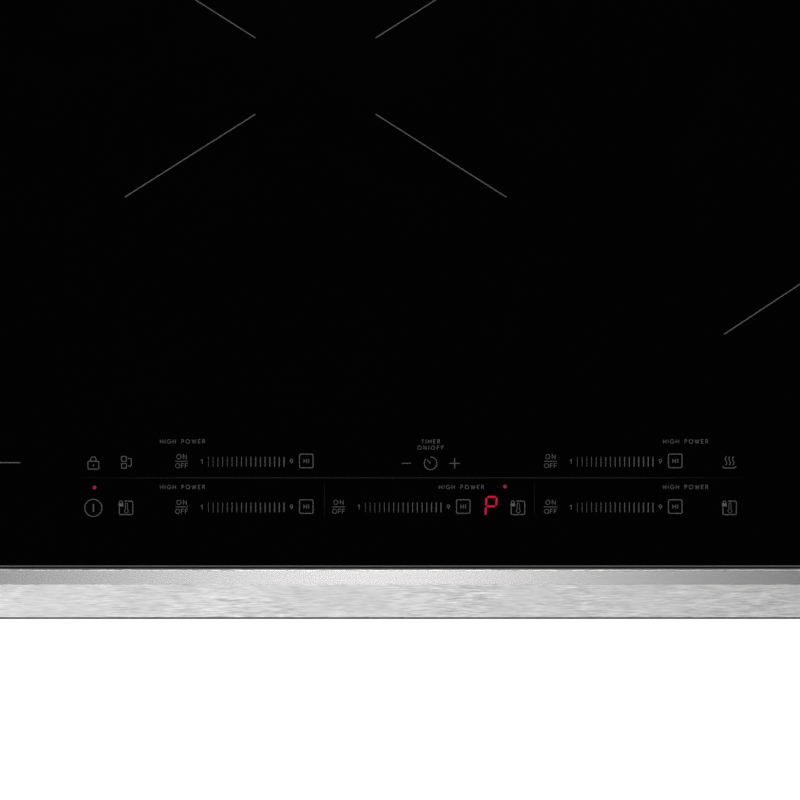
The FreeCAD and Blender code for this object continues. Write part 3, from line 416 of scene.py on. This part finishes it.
class Print:
    """Flat strokes of ink laid on the glass, in millimetres about a middle point."""

    INK_LOW = 0.002  # underside of the ink above the glass
    INK_HIGH = 0.03
    STEP = 0.002  # strokes that cross differ by this in height
    LEVELS = 8
    PEN = 0.45
    FINE_PEN = 0.28
    SHARPEST_MITRE = 0.35
    RING_SIDES = 48

    def __init__(self, x=0.0, y=0.0):
        self.mesh_maker = bmesh.new()
        self.x, self.y = x, y
        self.strokes = 0

    def slab(self, left, right, closed):
        """Close a strip between two lines of points into a thin solid."""
        low = GLASS_TOP + self.INK_LOW * MM
        high = low + (self.INK_HIGH + self.STEP * (self.strokes % self.LEVELS)) * MM
        self.strokes += 1
        rows = []
        for (ax, ay), (bx, by) in zip(left, right):
            rows.append([self.mesh_maker.verts.new(((self.x + px) * MM, (self.y + py) * MM, z))
                         for px, py, z in ((ax, ay, high), (bx, by, high), (bx, by, low), (ax, ay, low))])
        count = len(rows)
        for k in range(count if closed else count - 1):
            here, there = rows[k], rows[(k + 1) % count]
            for side in range(4):
                other = (side + 1) % 4
                self.mesh_maker.faces.new((here[side], here[other], there[other], there[side]))
        if not closed:
            self.mesh_maker.faces.new(rows[0])
            self.mesh_maker.faces.new(rows[-1])

    def stroke(self, points, width=PEN, closed=False, widths=None):
        """A line of the pen with mitred turns; widths gives one width per point instead."""
        count = len(points)
        left, right = [], []
        for k, (px, py) in enumerate(points):
            before = points[k - 1] if closed or k else None
            after = points[(k + 1) % count] if closed or k < count - 1 else None
            ways = []
            if before:
                ways.append(Vector((px - before[0], py - before[1])).normalized())
            if after:
                ways.append(Vector((after[0] - px, after[1] - py)).normalized())
            along = (ways[0] + ways[-1]).normalized()
            across = Vector((-along.y, along.x))
            reach = (widths[k] if widths else width) / 2
            reach /= max(self.SHARPEST_MITRE, across.dot(Vector((-ways[0].y, ways[0].x))))
            left.append((px + across.x * reach, py + across.y * reach))
            right.append((px - across.x * reach, py - across.y * reach))
        self.slab(left, right, closed)

    def circle(self, cx, cy, radius, width=PEN):
        """A ring of one stroke."""
        steps = self.RING_SIDES - 1
        self.stroke(arc(cx, cy, radius, 0, 360 * steps / self.RING_SIDES, steps), width, closed=True)

    def box(self, cx, cy, wide, high, radius, width=PEN):
        """A frame of one stroke with round corners."""
        self.stroke(rounded_square(cx, cy, wide, high, radius), width, closed=True)

    def disc(self, cx, cy, radius):
        """A filled dot."""
        rim = arc(cx, cy, radius, 0, 180, 12)
        self.slab(rim, [(px, 2 * cy - py) for px, py in rim], closed=False)

    def fill(self, outline_left, outline_right):
        """A filled patch between two lines."""
        self.slab(outline_left, outline_right, closed=False)

    def text(self, words, cx, cy, height, wide, width=0.3):
        """Letters of even stroke, spaced to fill the given width."""
        letters = [GLYPHS[letter] for letter in words]
        gaps = len(letters) - 1
        ink = sum(letter_wide for letter_wide, _ in letters) * height
        gap = (wide - ink) / gaps if gaps else 0
        start = cx - wide / 2 if gaps else cx - ink / 2
        for letter_wide, strokes in letters:
            for points, closed in strokes:
                moved = [(start + px * height, cy + (py - 0.5) * height) for px, py in points]
                self.stroke(moved, width, closed)
            start += letter_wide * height + gap

    def keep(self, name, material=INK):
        """Finish the strokes so far as one piece."""
        return add_piece(name, self.mesh_maker, material)


# Letters one unit high: width, then strokes as (points, closed).
BOWL = [(0, 0), (0, 1), (0.3, 1)] + arc(0.3, 0.73, 0.27, 90, -90, 8) + [(0, 0.46)]
GLYPHS = {
    "H": (0.7, [([(0, 0), (0, 1)], False), ([(0.7, 0), (0.7, 1)], False), ([(0, 0.5), (0.7, 0.5)], False)]),
    "I": (0.0, [([(0, 0), (0, 1)], False)]),
    "G": (0.92, [(arc(0.5, 0.5, 0.5, 45, 350, 18) + [(0.99, 0.47), (0.6, 0.47)], False)]),
    "O": (1.0, [(arc(0.5, 0.5, 0.5, 0, 345, 23), True)]),
    "N": (0.74, [([(0, 0), (0, 1), (0.74, 0), (0.74, 1)], False)]),
    "F": (0.55, [([(0, 0), (0, 1), (0.55, 1)], False), ([(0, 0.52), (0.48, 0.52)], False)]),
    "E": (0.55, [([(0.55, 0), (0, 0), (0, 1), (0.55, 1)], False), ([(0, 0.52), (0.48, 0.52)], False)]),
    "P": (0.57, [(BOWL, False)]),
    "R": (0.6, [(BOWL, False), ([(0.3, 0.46), (0.6, 0)], False)]),
    "W": (1.1, [([(0, 1), (0.28, 0), (0.55, 0.9), (0.82, 0), (1.1, 1)], False)]),
    "T": (0.64, [([(0, 1), (0.64, 1)], False), ([(0.32, 1), (0.32, 0)], False)]),
    "M": (0.86, [([(0, 0), (0, 1), (0.43, 0.3), (0.86, 1), (0.86, 0)], False)]),
    "1": (0.3, [([(0, 0.74), (0.3, 1), (0.3, 0)], False)]),
    "9": (0.6, [(arc(0.3, 0.7, 0.3, 0, 340, 17), True), ([(0.57, 0.57), (0.26, 0)], False)]),
    " ": (0.45, []),
    "|": (0.0, [([(0, -0.05), (0, 1.05)], False)]),
}


# ---- control layout, millimetres in plan --------------------------------------------------------
ROW_BACK = -175.5
ROW_FRONT = -203.7
LABEL_RISE = 12.4
ICON_DROP = -0.45
LEFT, MIDDLE, RIGHT = -82.8, 14.2, 145.2  # on/off keys of the three slider blocks
FIRST_KEY, SECOND_KEY = -137.3, -117.1  # two columns of single keys at the left
WARM_KEY = 255.7
TEMPERATURE_KEYS = {"left": SECOND_KEY, "middle": 125.1, "right": 255.9}
LABELS = {"left_back": (-82.2, ROW_BACK), "left_front": (-82.2, ROW_FRONT), "middle_front": (90.2, ROW_FRONT),
          "right_back": (228.7, ROW_BACK), "right_front": (228.7, ROW_FRONT)}
TIMER = (71.1, ROW_BACK - 1.15)
FIGURE = (108.5, -203.2)
DOTS = ((-136.6, -191.6), (117.1, -191.0))
DOT_RADIUS = 1.15
SLIDER_START = 16.6
SLIDER_DROP = 0.2
SLIDER_PITCH = 2.92
BAR_MIDDLE = 0.018  # above the glass
BARS = 17
ZONE_LINE = 0.6


def on_off_key(name, x, y):
    """On and off over and under a line, the ends of the slider and its boxed key."""
    first_x, last_x, box_x, box_y, box_side = 12.4, 67.9, 77.1, 0.35, 8.4
    key = Print(x, y)
    key.text("ON", 0, 2.95, 2.65, 6.0)
    key.stroke([(-3.9, 0.15), (3.9, 0.15)], 0.32)
    key.text("OFF", 0, -2.6, 2.65, 7.5)
    key.text("1", first_x, -0.05, 2.6, 1, 0.38)
    key.text("9", last_x, 0.1, 2.7, 1, 0.36)
    key.box(box_x, box_y, box_side, box_side, 0.9)
    key.text("HI", box_x, box_y, 2.5, 3.0, 0.36)
    key.keep(f"{name}_keys")


def power_label(name, x, y):
    """Small lettering over a slider."""
    height, wide = 2.3, 27.5
    words = Print(x, y)
    words.text("HIGH POWER", 0, 0, height, wide, Print.FINE_PEN)
    words.keep(name)


def lock_key():
    """Padlock with a short keyhole."""
    lock = Print(FIRST_KEY, ROW_BACK)
    lock.box(0, -2.3, 6.7, 4.9, 0.5)
    lock.stroke([(-1.7, 0.2)] + arc(0, 1.2, 1.7, 180, 0, 14) + [(1.7, 0.2)])
    lock.stroke([(0.1, -3.2), (0.1, -1.6)], 0.4)
    lock.keep("lock_key")


def bridge_key():
    """Two zones joined by a bracket."""
    bridge = Print(SECOND_KEY, ROW_BACK)
    bridge.box(-1.3, 1.6, 3.0, 3.0, 0.2, 0.42)
    bridge.box(-1.3, -2.7, 3.0, 3.0, 0.2, 0.42)
    bracket = [(1.2, 1.9)] + arc(2.3, 0.9, 1.0, 90, 0, 5)
    bracket += arc(2.3, -1.9, 1.0, 0, -90, 5) + [(1.2, -2.9)]
    bridge.stroke(bracket)
    bridge.keep("bridge_key")


def power_key():
    """Main switch: an upright bar in a ring."""
    power = Print(FIRST_KEY, ROW_FRONT)
    power.circle(0, ICON_DROP, 5.3)
    power.stroke([(0, ICON_DROP - 2.5), (0, ICON_DROP + 2.5)], 0.62)
    power.keep("power_key")


def temperature_key(name, x):
    """Thermometer in an open square with a small lock at its corner."""
    key = Print(x, ROW_FRONT + ICON_DROP)
    half, turn = 4.15, 0.8
    square = [(-0.9, half)] + arc(half - turn, half - turn, turn, 90, 0, 5)
    square += arc(half - turn, turn - half, turn, 0, -90, 5)
    square += arc(turn - half, turn - half, turn, 270, 180, 5)
    key.stroke(square + [(-half, 0.6)])
    tube_and_bulb = arc(0.2, 2.4, 0.65, 0, 180, 8) + arc(0.2, -1.9, 1.2, 123, 417, 14)
    key.stroke(tube_and_bulb, Print.FINE_PEN, closed=True)
    key.fill([(-4.6, 0.9), (-4.6, 2.7)], [(-1.8, 0.9), (-1.8, 2.7)])
    key.stroke([(-4.1, 2.6)] + arc(-3.2, 3.4, 0.9, 180, 0, 8) + [(-2.3, 2.6)], 0.4)
    key.keep(name)


def warm_key():
    """Three wavy lines of rising heat over a shallow dish."""
    key = Print(WARM_KEY, ROW_BACK)
    steps, foot, rise, sway = 16, -2.3, 5.4, 0.6
    for x in (-2.2, 0, 2.2):
        wave = [(x + 0.4 * k / steps + sway * math.sin(k / steps * 2 * math.pi), foot + rise * k / steps)
                for k in range(steps + 1)]
        key.stroke(wave, 0.4)
    key.stroke([(-4.2, -3.0), (-3.2, -4.0), (3.2, -4.0), (4.2, -3.0)])
    key.keep("keep_warm_key")


def timer_keys():
    """Timer dial between less and more, with its two lines of lettering."""
    timer = Print(*TIMER)
    timer.stroke(arc(0, 0, 3.9, 92, -223, 42))
    timer.stroke([(-2.0, 2.0), (0, 0)], 0.5)
    timer.stroke([(-17.7, 0), (-12.1, 0)])
    timer.stroke([(11.6, 0), (18.1, 0)])
    timer.stroke([(14.85, -3.2), (14.85, 3.2)])
    timer.text("TIMER", 0, 13.45, 2.2, 11.2, Print.FINE_PEN)
    timer.text("ON|OFF", 0, 9.65, 2.2, 15.9, Print.FINE_PEN)
    timer.keep("timer_keys")


def divider_lines():
    """Faint lines between the control groups, thinning out at their ends."""
    lines = Print()
    steps = 24
    left, right, level = -146.8, 263.6, -185.6
    xs = [left + (right - left) * k / steps for k in range(steps + 1)]
    widths = [0.06 + 0.50 * min(1, 5 * min(k, steps - k) / steps) for k in range(steps + 1)]
    lines.stroke([(x, level) for x in xs], widths=widths)
    upright_top, upright_length = -188, 22
    upright_widths = [0.05, 0.2, 0.25, 0.25, 0.25, 0.2, 0.05]
    last = len(upright_widths) - 1
    for x in (5.4, 135.2):
        points = [(x, upright_top - upright_length * k / last) for k in range(last + 1)]
        lines.stroke(points, widths=upright_widths)
    lines.keep("divider_lines", FAINT_INK)


# Zones: middle, radius, slope of the arms in degrees, where the arms start and which quarters have one.
ZONES = {"centre": (0, 62.7, 139.6, 32.4, 44, (1, 2, 3, 4)),
         "right_front": (326.7, -47.9, 88.9, 33.4, 20, (3, 4)),
         "right_rear": (326.7, 133.0, 76.0, 33.4, 18, (1, 2))}
JOINED_ZONES = (-298, 19)
JOINED_HALF_WIDE, JOINED_HALF_DEEP = 115.4, 195.2


def zone_marks():
    """Arms that point at the middle of each zone, and the ends of the joined zones."""
    for name, (cx, cy, radius, slope, inner, quarters) in ZONES.items():
        marks = Print(cx, cy)
        turns = {1: slope, 2: 180 - slope, 3: 180 + slope, 4: -slope}
        for quarter in quarters:
            turn = math.radians(turns[quarter])
            way = (math.cos(turn), math.sin(turn))
            marks.stroke([(way[0] * inner, way[1] * inner), (way[0] * radius, way[1] * radius)], ZONE_LINE)
        marks.keep(f"zone_marks_{name}")
    joined = Print(*JOINED_ZONES)
    for y in (-JOINED_HALF_DEEP, JOINED_HALF_DEEP):
        joined.stroke([(-JOINED_HALF_WIDE, y), (JOINED_HALF_WIDE, y)], ZONE_LINE)
    joined.keep("zone_marks_joined")


# ---- slider bars as Geometry Nodes --------------------------------------------------------------
def slider_tree():
    """A row of upright bars that grow wider from the first to the last."""
    tree, given, out = new_group("slider bars", "GeometryNodeTree",
                                 [("Count", "NodeSocketInt", BARS), ("Pitch", "NodeSocketFloat", 0.003),
                                  ("Bar Height", "NodeSocketFloat", 0.006),
                                  ("First Width", "NodeSocketFloat", 0.0004),
                                  ("Last Width", "NodeSocketFloat", 0.001),
                                  ("Ink Height", "NodeSocketFloat", 0.00003),
                                  ("Start", "NodeSocketVector", None), ("Ink", "NodeSocketMaterial", None)],
                                 [("Geometry", "NodeSocketGeometry")])
    step = put(tree, "ShaderNodeCombineXYZ", X=given.outputs["Pitch"])
    line = put(tree, "GeometryNodeMeshLine", {"mode": "OFFSET"}, Count=given.outputs["Count"],
               Start_Location=given.outputs["Start"], Offset=step.outputs[0])
    size = put(tree, "ShaderNodeCombineXYZ", X=1.0, Y=given.outputs["Bar Height"],
               Z=given.outputs["Ink Height"])
    bar = put(tree, "GeometryNodeMeshCube", Size=size.outputs[0])
    index = tree.nodes.new("GeometryNodeInputIndex")
    last = put(tree, "ShaderNodeMath", {"operation": "SUBTRACT"}, i0=given.outputs["Count"], i1=1.0)
    width = put(tree, "ShaderNodeMapRange", Value=index.outputs[0], From_Max=last.outputs[0],
                To_Min=given.outputs["First Width"], To_Max=given.outputs["Last Width"])
    scale = put(tree, "ShaderNodeCombineXYZ", X=width.outputs[0], Y=1.0, Z=1.0)
    bars = put(tree, "GeometryNodeInstanceOnPoints", Points=line.outputs[0], Instance=bar.outputs[0],
               Scale=scale.outputs[0])
    real = put(tree, "GeometryNodeRealizeInstances", Geometry=bars.outputs[0])
    inked = put(tree, "GeometryNodeSetMaterial", Geometry=real.outputs[0], Material=given.outputs["Ink"])
    tree.links.new(inked.outputs[0], out.inputs["Geometry"])
    return tree


def grow(name, tree, values):
    """Evaluate a Geometry Nodes tree with named values and return the plain mesh."""
    holder = bpy.data.objects.new(name, bpy.data.meshes.new(name))
    bpy.context.scene.collection.objects.link(holder)
    modifier = holder.modifiers.new("grow", "NODES")
    modifier.node_group = tree
    for item in tree.interface.items_tree:
        if item.item_type == "SOCKET" and item.in_out == "INPUT" and item.name in values:
            modifier[item.identifier] = values[item.name]
    holder.update_tag()
    graph = bpy.context.evaluated_depsgraph_get()
    mesh = bpy.data.meshes.new_from_object(holder.evaluated_get(graph))
    holder.modifiers.clear()
    bpy.data.objects.remove(holder)
    return mesh


def sliders():
    """The bars of all five sliders."""
    tree = slider_tree()
    places = {"left_back": (LEFT, ROW_BACK), "left_front": (LEFT, ROW_FRONT), "middle": (MIDDLE, ROW_FRONT),
              "right_back": (RIGHT, ROW_BACK), "right_front": (RIGHT, ROW_FRONT)}
    for name, (x, y) in places.items():
        start = Vector(((x + SLIDER_START) * MM, (y - SLIDER_DROP) * MM, GLASS_TOP + BAR_MIDDLE * MM))
        mesh = grow(f"slider_{name}", tree, {
            "Count": BARS, "Pitch": SLIDER_PITCH * MM, "Bar Height": 6.0 * MM, "First Width": 0.2 * MM,
            "Last Width": 0.54 * MM, "Ink Height": 0.03 * MM, "Start": start, "Ink": INK})
        adopt(f"slider_{name}", mesh, None)


# ---- lamps under the glass ----------------------------------------------------------------------
def lit_figure():
    """Seven-segment figure with five segments lit, leaning a little."""
    figure = Print(*FIGURE)
    half_wide, half_high, thick, lean = 3.15, 5.8, 1.3, 0.06
    gap, point, tip = 0.34, thick / 2, 0.05
    corners = {"top": [(-1, 1), (1, 1)], "middle": [(-1, 0), (1, 0)], "upper_left": [(-1, 0), (-1, 1)],
               "upper_right": [(1, 0), (1, 1)], "lower_left": [(-1, -1), (-1, 0)]}
    for ends in corners.values():
        (ax, ay), (bx, by) = [(x * half_wide, y * half_high) for x, y in ends]
        along = Vector((bx - ax, by - ay)).normalized()
        length = math.dist((ax, ay), (bx, by))
        places = [(gap, tip), (gap + point, thick), (length - gap - point, thick), (length - gap, tip)]
        points = [(ax + along.x * d, ay + along.y * d) for d, _ in places]
        figure.stroke([(px + lean * py, py) for px, py in points], widths=[w for _, w in places])
    figure.keep("lit_figure", LIT_FIGURE)


def lit_dots():
    """The two round lamps that are on."""
    dots = Print()
    for x, y in DOTS:
        dots.disc(x, y, DOT_RADIUS)
    dots.keep("lit_dots", LIT_DOT)


# ---- folded trim --------------------------------------------------------------------------------
SHEET = 0.8 * MM
TRIM_DEEP = 31.4 * MM  # from the front edge to the face that meets the glass
LAND = 10 * MM
SLOPE_DROP = 4.7 * MM
TAB_RISE = 1.2 * MM
TAB_BEND, GLASS_BEND, LAND_BEND, FRONT_BEND = 0.6 * MM, 0.8 * MM, 0.45 * MM, 1.3 * MM
BEND_STEPS = 6
LEVEL_FACE = 0.999  # least upward normal of the land
EDGE_FACE = -0.5  # forward normal from which the front bend gets a near-black material: painted shade on the steel


def swing(vector, angle):
    """A plane vector turned by an angle."""
    return Vector((vector.x * math.cos(angle) - vector.y * math.sin(angle),
                   vector.x * math.sin(angle) + vector.y * math.cos(angle)))


def rounded_path(corners):
    """Centre line of a folded sheet from (y, z, bend radius) corners, as places and directions."""
    places = [Vector(corner[:2]) for corner in corners]
    path = [(places[0], (places[1] - places[0]).normalized())]
    for before, here, after, (_, _, radius) in zip(places, places[1:], places[2:], corners[1:]):
        way_in, way_out = (here - before).normalized(), (after - here).normalized()
        turn = way_in.angle_signed(way_out)
        start = here - way_in * (radius * math.tan(abs(turn) / 2))
        middle = start + Vector((way_in.y, -way_in.x)) * radius * math.copysign(1, turn)
        for step in range(BEND_STEPS + 1):
            angle = -turn * step / BEND_STEPS
            path.append((middle + swing(start - middle, angle), swing(way_in, angle)))
    path.append((places[-1], (places[-1] - places[-2]).normalized()))
    return path


def trim_outline():
    """Closed section of the folded sheet: tab, upstand, land, slope and front lip."""
    half = SHEET / 2
    top, front, tab = trim_high.z - half, trim_low.y + half, trim_low.z + TAB_RISE
    inner = trim_low.y + TRIM_DEEP
    upstand = inner - half
    path = rounded_path([(trim_high.y, tab, 0), (upstand, tab, TAB_BEND), (upstand, top, GLASS_BEND),
                         (inner - LAND, top, LAND_BEND), (front, top - SLOPE_DROP, FRONT_BEND),
                         (front, trim_low.z, 0)])
    outline = [place + Vector((-way.y, way.x)) * half for place, way in path]
    outline += [place - Vector((-way.y, way.x)) * half for place, way in reversed(path)]
    return outline


def trim_skin():
    """The folded stainless trim with real bend radii at its folds, and painted shade on its front bend."""
    outline = trim_outline()
    count = len(outline)
    skin = bmesh.new()
    ends = []
    for x in (trim_low.x, trim_high.x):
        ends.append([skin.verts.new((x, point.x, point.y)) for point in outline])
    for k in range(count):
        other = (k + 1) % count
        skin.faces.new((ends[0][k], ends[0][other], ends[1][other], ends[1][k]))
    # the two cut ends are strips of quads across the sheet
    for row in ends:
        for k in range(count // 2 - 1):
            skin.faces.new((row[k], row[k + 1], row[count - 2 - k], row[count - 1 - k]))
    piece = add_piece("trim_skin", skin, None)
    satin = brushed_steel("satin trim land", 0.72, line=(0.3, 40), rough=(0.268, 0.272), contrast=0.01,
                          stretch=0.82, depth=0.0002)
    # near-black material for the front bend of the steel sheet: painted shade, not a finish of the trim
    edge_painted_shade = moulded("painted shade trim edge", (0.012, 0.012, 0.012), grain=0.5, rough=0.6, depth=0.01, shine=1.05)
    for material in (MATERIALS["brushed_trim"], satin, edge_painted_shade):
        piece.data.materials.append(material)
    for face in piece.data.polygons:
        if face.normal.z > LEVEL_FACE and face.center.z > trim_high.z - SHEET / 2:
            face.material_index = 1
        # faces of the front bend take the painted shade material
        elif face.normal.y < EDGE_FACE:
            face.material_index = 2
    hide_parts("front_trim")


# ---- coil windings ------------------------------------------------------------------------------
COIL_EYE = 22 * MM  # radius of the open middle
WIRE_SHARE = 0.92  # of the winding's height
TURN_PITCH = 2.08  # wire radii from turn to turn


def winding_tree():
    """One flat spiral of round bundle wire."""
    tree, given, out = new_group("coil winding", "GeometryNodeTree",
                                 [("Turns", "NodeSocketFloat", 20),
                                  ("Inner Radius", "NodeSocketFloat", 0.022),
                                  ("Outer Radius", "NodeSocketFloat", 0.09),
                                  ("Wire Radius", "NodeSocketFloat", 0.002),
                                  ("Middle", "NodeSocketVector", None), ("Wire", "NodeSocketMaterial", None)],
                                 [("Geometry", "NodeSocketGeometry")])
    spiral = put(tree, "GeometryNodeCurveSpiral", Resolution=40, Rotations=given.outputs["Turns"],
                 Start_Radius=given.outputs["Inner Radius"], End_Radius=given.outputs["Outer Radius"],
                 Height=0.0)
    round_wire = put(tree, "GeometryNodeCurvePrimitiveCircle", Resolution=8,
                     Radius=given.outputs["Wire Radius"])
    wire = put(tree, "GeometryNodeCurveToMesh", Curve=spiral.outputs[0], Profile_Curve=round_wire.outputs[0],
               Fill_Caps=True)
    moved = put(tree, "GeometryNodeTransform", Geometry=wire.outputs[0], Translation=given.outputs["Middle"])
    real = put(tree, "GeometryNodeRealizeInstances", Geometry=moved.outputs[0])
    done = put(tree, "GeometryNodeSetMaterial", Geometry=real.outputs[0], Material=given.outputs["Wire"])
    tree.links.new(done.outputs[0], out.inputs["Geometry"])
    return tree


def windings():
    """A wound spiral in place of each plain coil."""
    tree = winding_tree()
    for coil in ("centre", "right_front", "right_rear", "left_front", "left_rear"):
        low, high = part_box(f"coil_winding_{coil}")
        middle = (low + high) / 2
        outer = (high.x - low.x) / 2
        wire = (high.z - low.z) / 2 * WIRE_SHARE
        turns = int((outer - COIL_EYE) / (TURN_PITCH * wire))
        mesh = grow(f"spiral_{coil}", tree, {
            "Turns": float(turns), "Inner Radius": COIL_EYE + wire, "Outer Radius": outer - wire,
            "Wire Radius": wire, "Middle": middle, "Wire": MATERIALS["copper_litz"]})
        piece = adopt(f"coil_spiral_{coil}", mesh, None)
        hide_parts(f"coil_winding_{coil}")


# ---- studio -------------------------------------------------------------------------------------
FLOOR_GLOW = 0.62
FLOOR_HALF = 8
FLOOR_GAP = 0.5 * MM
SKY_LEVEL = 0.22
BRIGHT_UP_TO, DARK_FROM = 0.80, 0.985  # upward share of the direction
SOFT_BOXES = {  # place and size in metres, power in watts
    "front_strip": ((-0.75, -2.9, 5.6), (3.3, 0.5), 34),
    "rear_spot": ((0.0, 1.35, 6.0), (0.35, 0.5), 30),
    "left_box": ((-3.0, -1.5, 3.0), (1.4, 1.4), 70),
    "right_box": ((3.0, -1.5, 3.0), (1.4, 1.4), 49),
}
LIT_PLACE = Vector((0.05, -0.2, 0.1))
VIEW_MIDDLE = (0.0522, -0.1375)
VIEW_WIDTH = 0.4944  # at the height of the glass
LENS, SENSOR = 270, 36


def pale_floor():
    """A wide white floor with a little glow of its own."""
    maker = bmesh.new()
    bmesh.ops.create_grid(maker, x_segments=1, y_segments=1, size=FLOOR_HALF)
    mesh = bpy.data.meshes.new("floor")
    maker.to_mesh(mesh)
    maker.free()
    floor = bpy.data.objects.new("floor", mesh)
    floor.location.z = cad_low.z - FLOOR_GAP
    bpy.context.scene.collection.objects.link(floor)
    material, tree = new_material("pale floor")
    finish_surface(tree, Base_Color=(0.8, 0.8, 0.8, 1), Roughness=0.9, Emission_Color=(1, 1, 1, 1),
                   Emission_Strength=FLOOR_GLOW)
    mesh.materials.append(material)


def sky():
    """A bright low sky that is dark straight overhead, so that level glass stays black."""
    world = bpy.data.worlds.new("studio")
    bpy.context.scene.world = world
    world.use_nodes = True
    tree = world.node_tree
    tree.nodes.clear()
    way = tree.nodes.new("ShaderNodeTexCoord")
    rise = put(tree, "ShaderNodeSeparateXYZ", Vector=way.outputs["Generated"])
    ramp = put(tree, "ShaderNodeValToRGB", Fac=rise.outputs[2])
    ramp.color_ramp.interpolation = "EASE"
    first, last = ramp.color_ramp.elements
    first.position, first.color = BRIGHT_UP_TO, (1, 1, 1, 1)
    last.position, last.color = DARK_FROM, (0, 0, 0, 1)
    background = put(tree, "ShaderNodeBackground", Color=ramp.outputs[0], Strength=SKY_LEVEL)
    put(tree, "ShaderNodeOutputWorld", Surface=background.outputs[0])


def soft_boxes():
    """Area lamps that look at the front half of the glass."""
    for name, (place, size, power) in SOFT_BOXES.items():
        lamp = bpy.data.lights.new(name, "AREA")
        lamp.shape = "RECTANGLE"
        lamp.size, lamp.size_y = size
        lamp.energy = power
        holder = bpy.data.objects.new(name, lamp)
        holder.location = place
        holder.rotation_euler = (LIT_PLACE - Vector(place)).to_track_quat("-Z", "Y").to_euler()
        bpy.context.scene.collection.objects.link(holder)


def overhead_camera():
    """A long lens that looks straight down on the control panel."""
    lens = bpy.data.cameras.new("camera")
    lens.lens = LENS
    lens.sensor_width = SENSOR
    lens.clip_end = 50
    camera = bpy.data.objects.new("camera", lens)
    camera.location = (*VIEW_MIDDLE, GLASS_TOP + VIEW_WIDTH * LENS / SENSOR)
    bpy.context.scene.collection.objects.link(camera)
    bpy.context.scene.camera = camera
    bpy.context.scene.view_settings.view_transform = "Standard"


# ---- build --------------------------------------------------------------------------------------
for block_name, block_x, rows in (("left", LEFT, (ROW_BACK, ROW_FRONT)), ("middle", MIDDLE, (ROW_FRONT,)),
                                  ("right", RIGHT, (ROW_BACK, ROW_FRONT))):
    for row in rows:
        where = f"{block_name}_{'back' if row == ROW_BACK else 'front'}"
        on_off_key(where, block_x, row)
for block_name, (label_x, row) in LABELS.items():
    power_label(f"{block_name}_label", label_x, row + LABEL_RISE)
lock_key()
bridge_key()
power_key()
for key_name, key_x in TEMPERATURE_KEYS.items():
    temperature_key(f"temperature_key_{key_name}", key_x)
warm_key()
timer_keys()
divider_lines()
zone_marks()
sliders()
lit_figure()
lit_dots()
trim_skin()
windings()
pale_floor()
sky()
soft_boxes()
overhead_camera()
